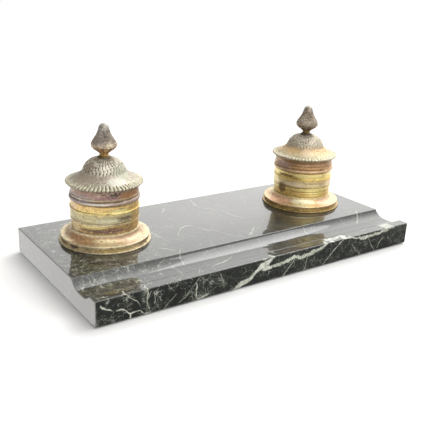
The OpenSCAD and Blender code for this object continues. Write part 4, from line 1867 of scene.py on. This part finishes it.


# The left well is duller, with plum stains low on its barrel. The right one is brighter, with a brown smear
# down the left of its barrel.
# In the ring colours, the pale lines on beads and raised lines are partly rubbed bright and partly painted
# highlight, and the dark lines in the narrow grooves beside proud edges are partly dirt and partly painted
# shade. The lids' and finials' crest and hollow colours are likewise partly painted highlight and partly
# painted shade.
LOOKS: dict[Side, dict[str, Any]] = {
    Side.LEFT: {
        "foot": dict(
            rings=(
                (0, 0xE0D4B6), (1.3, 0xD8C8A4), (1.8, 0xD0BE96), (3.6, 0xD8C69C),
                (4.3, CREAM_RUB_AND_HIGHLIGHT), (5.5, CREAM_RUB_AND_HIGHLIGHT), (6.0, 0xD2B490), (9.5, 0xC9A97F), (10.7, CREAM_RUB_AND_HIGHLIGHT),
            ),
            patches=(
                Patch(0xC4966A, -38, 7.5, 30, 2.6, 0.65, 1.0, 0.9),
                # Painted highlight at the front of the flare
                Patch(0xF0E2B8, 2, 7.5, 22, 2.0, 0.75, 1.1, 0.9),
                Patch(0xD8C2A6, 46, 7.2, 26, 3.0, 0.7, 0.9, 0.6),
                Patch(UMBER, -44, 3.0, 9, 1.5, 0.9, 0.4, 0.2),
                Patch(0x61492D, 62, 3.0, 18, 1.6, 0.8, 0.6, 0.3),
                Patch(0x96803A, 6, 2.6, 30, 1.2, 0.7, 1.0, 0.4),
                Patch(0x80623A, -74, 3.0, 20, 1.6, 0.8, 0.8, 0.4),
                Patch(0xB08C70, 20, 9.2, 50, 1.4, 0.6, 1.2, 0.6),
                Patch(0xECD4A6, -6, 7.3, 5.5, 1.2, 0.85, 0.3, 0.6),
                Patch(0x5C462E, -6, 7.5, 1.9, 0.45, 0.95, 0.2, 0.2),
            ),
        ),
        "barrel": dict(
            rings=(
                (11.2, CREAM_RUB_AND_HIGHLIGHT), (12.0, 0xBA9A6C), (16.4, 0xC4A470), (18.2, 0xDCBE7C),
                (18.5, CREAM_RUB_AND_HIGHLIGHT), (19.2, CREAM_RUB_AND_HIGHLIGHT), (19.8, 0xBEA880), (21.5, 0xCEC49C),
                (26.4, 0xD2C494), (27.3, 0xF8E8AC), (28.3, 0xFAE69A),
                (29.4, 0xF4D68C), (32.6, 0xF0CC88), (33.6, 0xA47C50),
            ),
            patches=(
                Patch(0x6A504A, 0, 14.6, 38, 2.2, 0.85, 1.1, 0.2),
                Patch(0x927446, 30, 18.0, 28, 2.5, 0.5, 0.6, 0.4),
                Patch(0x483A2C, 34, 23.4, 20, 1.7, 0.8, 1.3, 0.2),
                Patch(0xD6D0B0, 4, 22.5, 22, 3.0, 0.7, 0.6, 0.6),
                Patch(0xBE9856, 66, 22.0, 20, 11.0, 0.7, 0.4, 0.7),
                Patch(0xECCEAA, -66, 30.5, 18, 3.0, 0.7, 0.4, 0.5),
                # Painted highlight right of the front
                Patch(0xFCF2B0, 24, 29.6, 16, 1.6, 0.8, 0.9, 1.0),
                Patch(0xECD6A6, -58, 15.0, 14, 3.6, 0.7, 0.6, 0.6),
                Patch(0xFCECA0, -22, 17.0, 24, 1.4, 0.7, 1.0, 1.0),
            ),
        ),
        "collar": dict(
            rings=(
                (33.6, 0x967A64), (34.4, 0xCEBEAA), (36.0, 0xBEAA9E),
                (37.2, 0x8E766E), (38.0, 0xD0C096), (38.9, 0xC4B28C),
                (39.5, 0xA4867C), (45, 0xA08470),
            ),
            patches=(
                Patch(0xAA9E9E, -50, 38.0, 34, 3.4, 0.6, 0.8, 0.4),
                Patch(0x966C74, 6, 39.6, 26, 1.3, 0.6, 0.8, 0.4),
                Patch(0x4B3B32, 16, 42.4, 12, 2.0, 0.9, 0.9, 0.2),
                Patch(0xA87A4A, 48, 41.0, 26, 3.0, 0.8, 0.8, 0.6),
                # Painted highlight on the bead, left of the front
                Patch(0xE2DCCE, -14, 35.6, 22, 0.8, 0.7, 1.2, 0.9),
            ),
            stain=srgb(0x68524C), gilt_and_glint=srgb(0xE8DECA), gilt_and_glint_share=0.3, roughness=0.4, metal=0.6,
        ),
        "lid": dict(
            crests=(
                (4, 0xA69E8B), (10, 0xD2CCBD), (16.5, 0xD9D2C1),
                (18, 0xBAAE9F), (22, 0xC0B5A6), (24, 0xC8C2AE), (30, 0xD2CEB6),
            ),
            hollows=(
                (4, 0x58503F), (16.5, 0x5F5340), (18, 0x9C9382),
                (22, 0x938B7B), (24, 0x665E47), (30, 0x6E674F),
            ),
            patches=(
                Patch(0xAA9A88, -46, 51.5, 34, 3.0, 0.5, 1.0, 0.5),
                # Painted shade on the dome's left side
                Patch(0x7A6656, -50, 58.5, 20, 4.5, 0.6, 0.8, 0.3),
                # Painted highlights: on the dome's front, and on the flare right of the front
                Patch(0xECE8D6, 2, 58.5, 18, 3.5, 0.5, 1.2, 0.8),
                Patch(0xDADACE, 26, 51.0, 22, 2.6, 0.6, 0.8, 0.6),
                Patch(0xAEB5A0, 52, 56.0, 30, 6.0, 0.5, 0.6, 0.5),
            ),
        ),
        "finial": dict(
            crests=(
                (64.6, 0xA79D81), (65.6, 0xB49F77), (66.6, 0xD8B472),
                (68.6, 0xC9A168), (71.5, 0xBB9B77), (74.5, 0xC9B8A1),
                (77, 0xA79B8E), (84, 0x9F978E), (90.3, 0xBDBBB2),
            ),
            hollows=(
                (64.6, 0x6E644E), (66.6, 0x86663A), (68.0, 0x744E30),
                (71.5, 0x564032), (76, 0x584A42), (84, 0x5C544E), (90.3, 0x706C66),
            ),
            by_height=True,
            patches=(
                # Painted highlight right of the front of the bud
                Patch(0xE6DAC0, 26, 74.6, 18, 2.4, 0.6, 1.8, 0.8),
                Patch(0x92684E, -14, 71.6, 44, 1.6, 0.6, 1.0, 0.4),
                Patch(0xD6B880, 8, 71.0, 20, 1.2, 0.6, 1.2, 0.8),
                Patch(0x70625A, -40, 78.0, 26, 4.0, 0.5, 1.0, 0.4),
            ),
            verdigris=srgb(0x969484), verdigris_share=0.25,
        ),
        "ink_depth": 7.0,
    },
    Side.RIGHT: {
        "foot": dict(
            rings=(
                (0, 0xCAB17F), (1.3, 0xAF945B), (1.8, 0xB89C60), (3.6, 0xC4A668),
                (4.3, 0xEFD09A), (5.5, 0xFCE0B0), (6.2, 0xF3D0A4),
                (9.5, 0xF8DAA4), (10.7, 0xFCEBB6),
            ),
            patches=(
                Patch(0xF1C09E, -44, 7.5, 28, 3.0, 0.8, 0.4, 0.7),
                # Painted highlight at the front of the flare
                Patch(0xFCF7D4, 6, 7.6, 24, 2.6, 0.85, 0.4, 1.0),
                Patch(0xE9C2A6, 54, 7.2, 24, 3.0, 0.8, 0.4, 0.6),
            ),
            stain_share=0.25,
        ),
        "barrel": dict(
            rings=(
                (11.2, 0xE8D08E), (12.2, 0xCCAA62), (14.6, 0xF0D080),
                (16.2, 0xCEAC68), (18.2, 0xFAE49A), (19.2, 0xF8E296),
                (19.8, 0x967246), (20.4, 0xD8BC84), (22, 0xECD6AC),
                (26.4, 0xE0C68C), (27.2, 0xF4DA8E), (28.4, 0xF2D47C),
                (29.5, 0xFFECA0), (32.6, 0xFFE89C), (33.6, 0xCCA266),
            ),
            patches=(
                Patch(0x7E5E32, -32, 30.2, 22, 1.6, 0.95, 0.7, 0.3),
                Patch(0x92703C, -12, 28.6, 14, 1.2, 0.8, 0.7, 0.4),
                Patch(0x6E4C30, -42, 18.0, 10, 5.5, 0.85, 0.7, 0.2),
                Patch(0xF0DEB8, -14, 23.2, 22, 2.4, 0.7, 0.5, 0.7),
                # Painted highlight right of the front
                Patch(0xFCECA0, 30, 17.0, 22, 5.5, 0.6, 0.6, 1.0),
                Patch(0xFCEEB4, -66, 23.0, 14, 9.0, 0.6, 0.5, 0.9),
                Patch(0xC8BC58, 42, 15.4, 5, 3.4, 0.6, 0.6, 0.7),
            ),
            stain_share=0.15, gilt_and_glint_share=0.3, fleck_share=0.4, shade_share=0.6,
        ),
        "collar": dict(
            rings=(
                (33.6, 0xBE925C), (34.3, 0xF0D4AA), (36.0, 0xE4C296),
                (37.2, 0xB48B68), (38.0, 0xE2B884), (38.9, 0xD4A978),
                (39.5, 0xB8916B), (45, 0xC6A072),
            ),
            patches=(
                Patch(0xA68C84, -44, 39.6, 24, 4.0, 0.7, 0.9, 0.4),
                Patch(0x825E3D, 10, 43.4, 60, 1.4, 0.8, 0.5, 0.3),
            ),
            stain=srgb(0x826046), gilt_and_glint=srgb(0xE8CCA4), gilt_and_glint_share=0.25, roughness=0.4, metal=0.6,
        ),
        "lid": dict(
            crests=(
                (4, 0xA49989), (10, 0xD4CCBC), (16, 0xD9CEBA), (17.5, 0xDABC8C),
                (21.5, 0xE0CA9E), (25, 0xD6CCAC), (30, 0xDEDAC2),
            ),
            hollows=(
                (4, 0x766A58), (16, 0x847258), (17.5, 0xB4926A),
                (21.5, 0xBA9E74), (25, 0xA0906C), (30, 0xA0987A),
            ),
            patches=(
                Patch(0xD9BA85, -36, 52.5, 20, 3.0, 0.6, 0.5, 0.8),
                # Painted highlight at the front of the flare
                Patch(0xECD6B8, 8, 51.5, 18, 2.6, 0.5, 1.0, 0.7),
            ),
            verdigris_share=0.2,
        ),
        "finial": dict(
            crests=(
                (64.6, 0xA19779), (66.6, 0xAE9563), (68.6, 0xA58C61), (71.5, 0xA7957D),
                (78, 0xBDB0A0), (84, 0xA59582), (90.3, 0xB4AC9E),
            ),
            hollows=(
                (64.6, 0x685C4A), (67.5, 0x624A32), (71.5, 0x5A483E),
                (84, 0x665650), (90.3, 0x726662),
            ),
            by_height=True, verdigris=srgb(0x928A86), verdigris_share=0.2, roughness=0.42,
        ),
        "ink_depth": 4.5,
    },
}


def well_finishes(
    side: Side, axis: Axis, brass: bpy.types.Material, steel: bpy.types.Material
) -> WellFinishes:
    """One well's finishes.

    Args:
        side: Which well.
        axis: Its axis.
        brass: The finish of its hidden brass.
        steel: The finish of its fixings.

    Returns:
        The finishes.
    """
    look = LOOKS[side]
    kinds = dict(foot=WornMetal, barrel=WornMetal, collar=WornMetal, lid=ChasedMetal, finial=ChasedMetal)
    made = {part: kind(side.node(f"{part}_brass"), axis, **look[part]) for part, kind in kinds.items()}
    return WellFinishes(**made, axis=axis, ink_depth=look["ink_depth"], brass=brass, steel=steel)


def studio() -> Studio:
    """The studio's lamps and glows."""
    return Studio(
        lamps=(Lamp("overhead_softbox", 88, 54, 1.3, 1.38, 0.42, 2.5),),
        glows=(
            Glow(54, 30, 18, 52, 1.65), Glow(188, 30, 12, 47, 1.75), Glow(90, 78, 10, 60, 0.4),
            Glow(88, 52, 15, 42, 1.1), Glow(120, 30, 20, 100, 0.1),
        ),
    )


def main() -> None:
    """Builds the stand, its finishes and the studio."""
    logging.basicConfig(level=logging.INFO, format="%(name)s: %(message)s")
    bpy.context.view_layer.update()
    brass = PlainMetal("unpolished_brass", srgb(0xC4A25C), srgb(0x785C34), 0.42).material()
    steel = PlainMetal("old_steel", srgb(0x96948E), srgb(0x605448), 0.45).material()
    wells = []
    for side, facing, worn in ((Side.LEFT, -115.3, 0.0), (Side.RIGHT, -133.5, 0.6)):
        low, high = corners(side.node("barrel"))
        middle = (low + high) / 2
        centre = Vector((middle.x, middle.y, corners("marble_slab")[1].z))
        finishes = well_finishes(side, Axis(centre * MM, radians(facing)), brass, steel)
        well = Well(side, radians(facing), finishes, worn_away=worn)
        well.build()
        wells.append(well)
    low, high = corners("marble_slab")
    Slab().build(Marble(VEINS, -low.x, low.y, high.z), Baize(), [well.centre for well in wells])
    studio().build()
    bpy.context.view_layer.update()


if __name__ == "__main__":
    main()
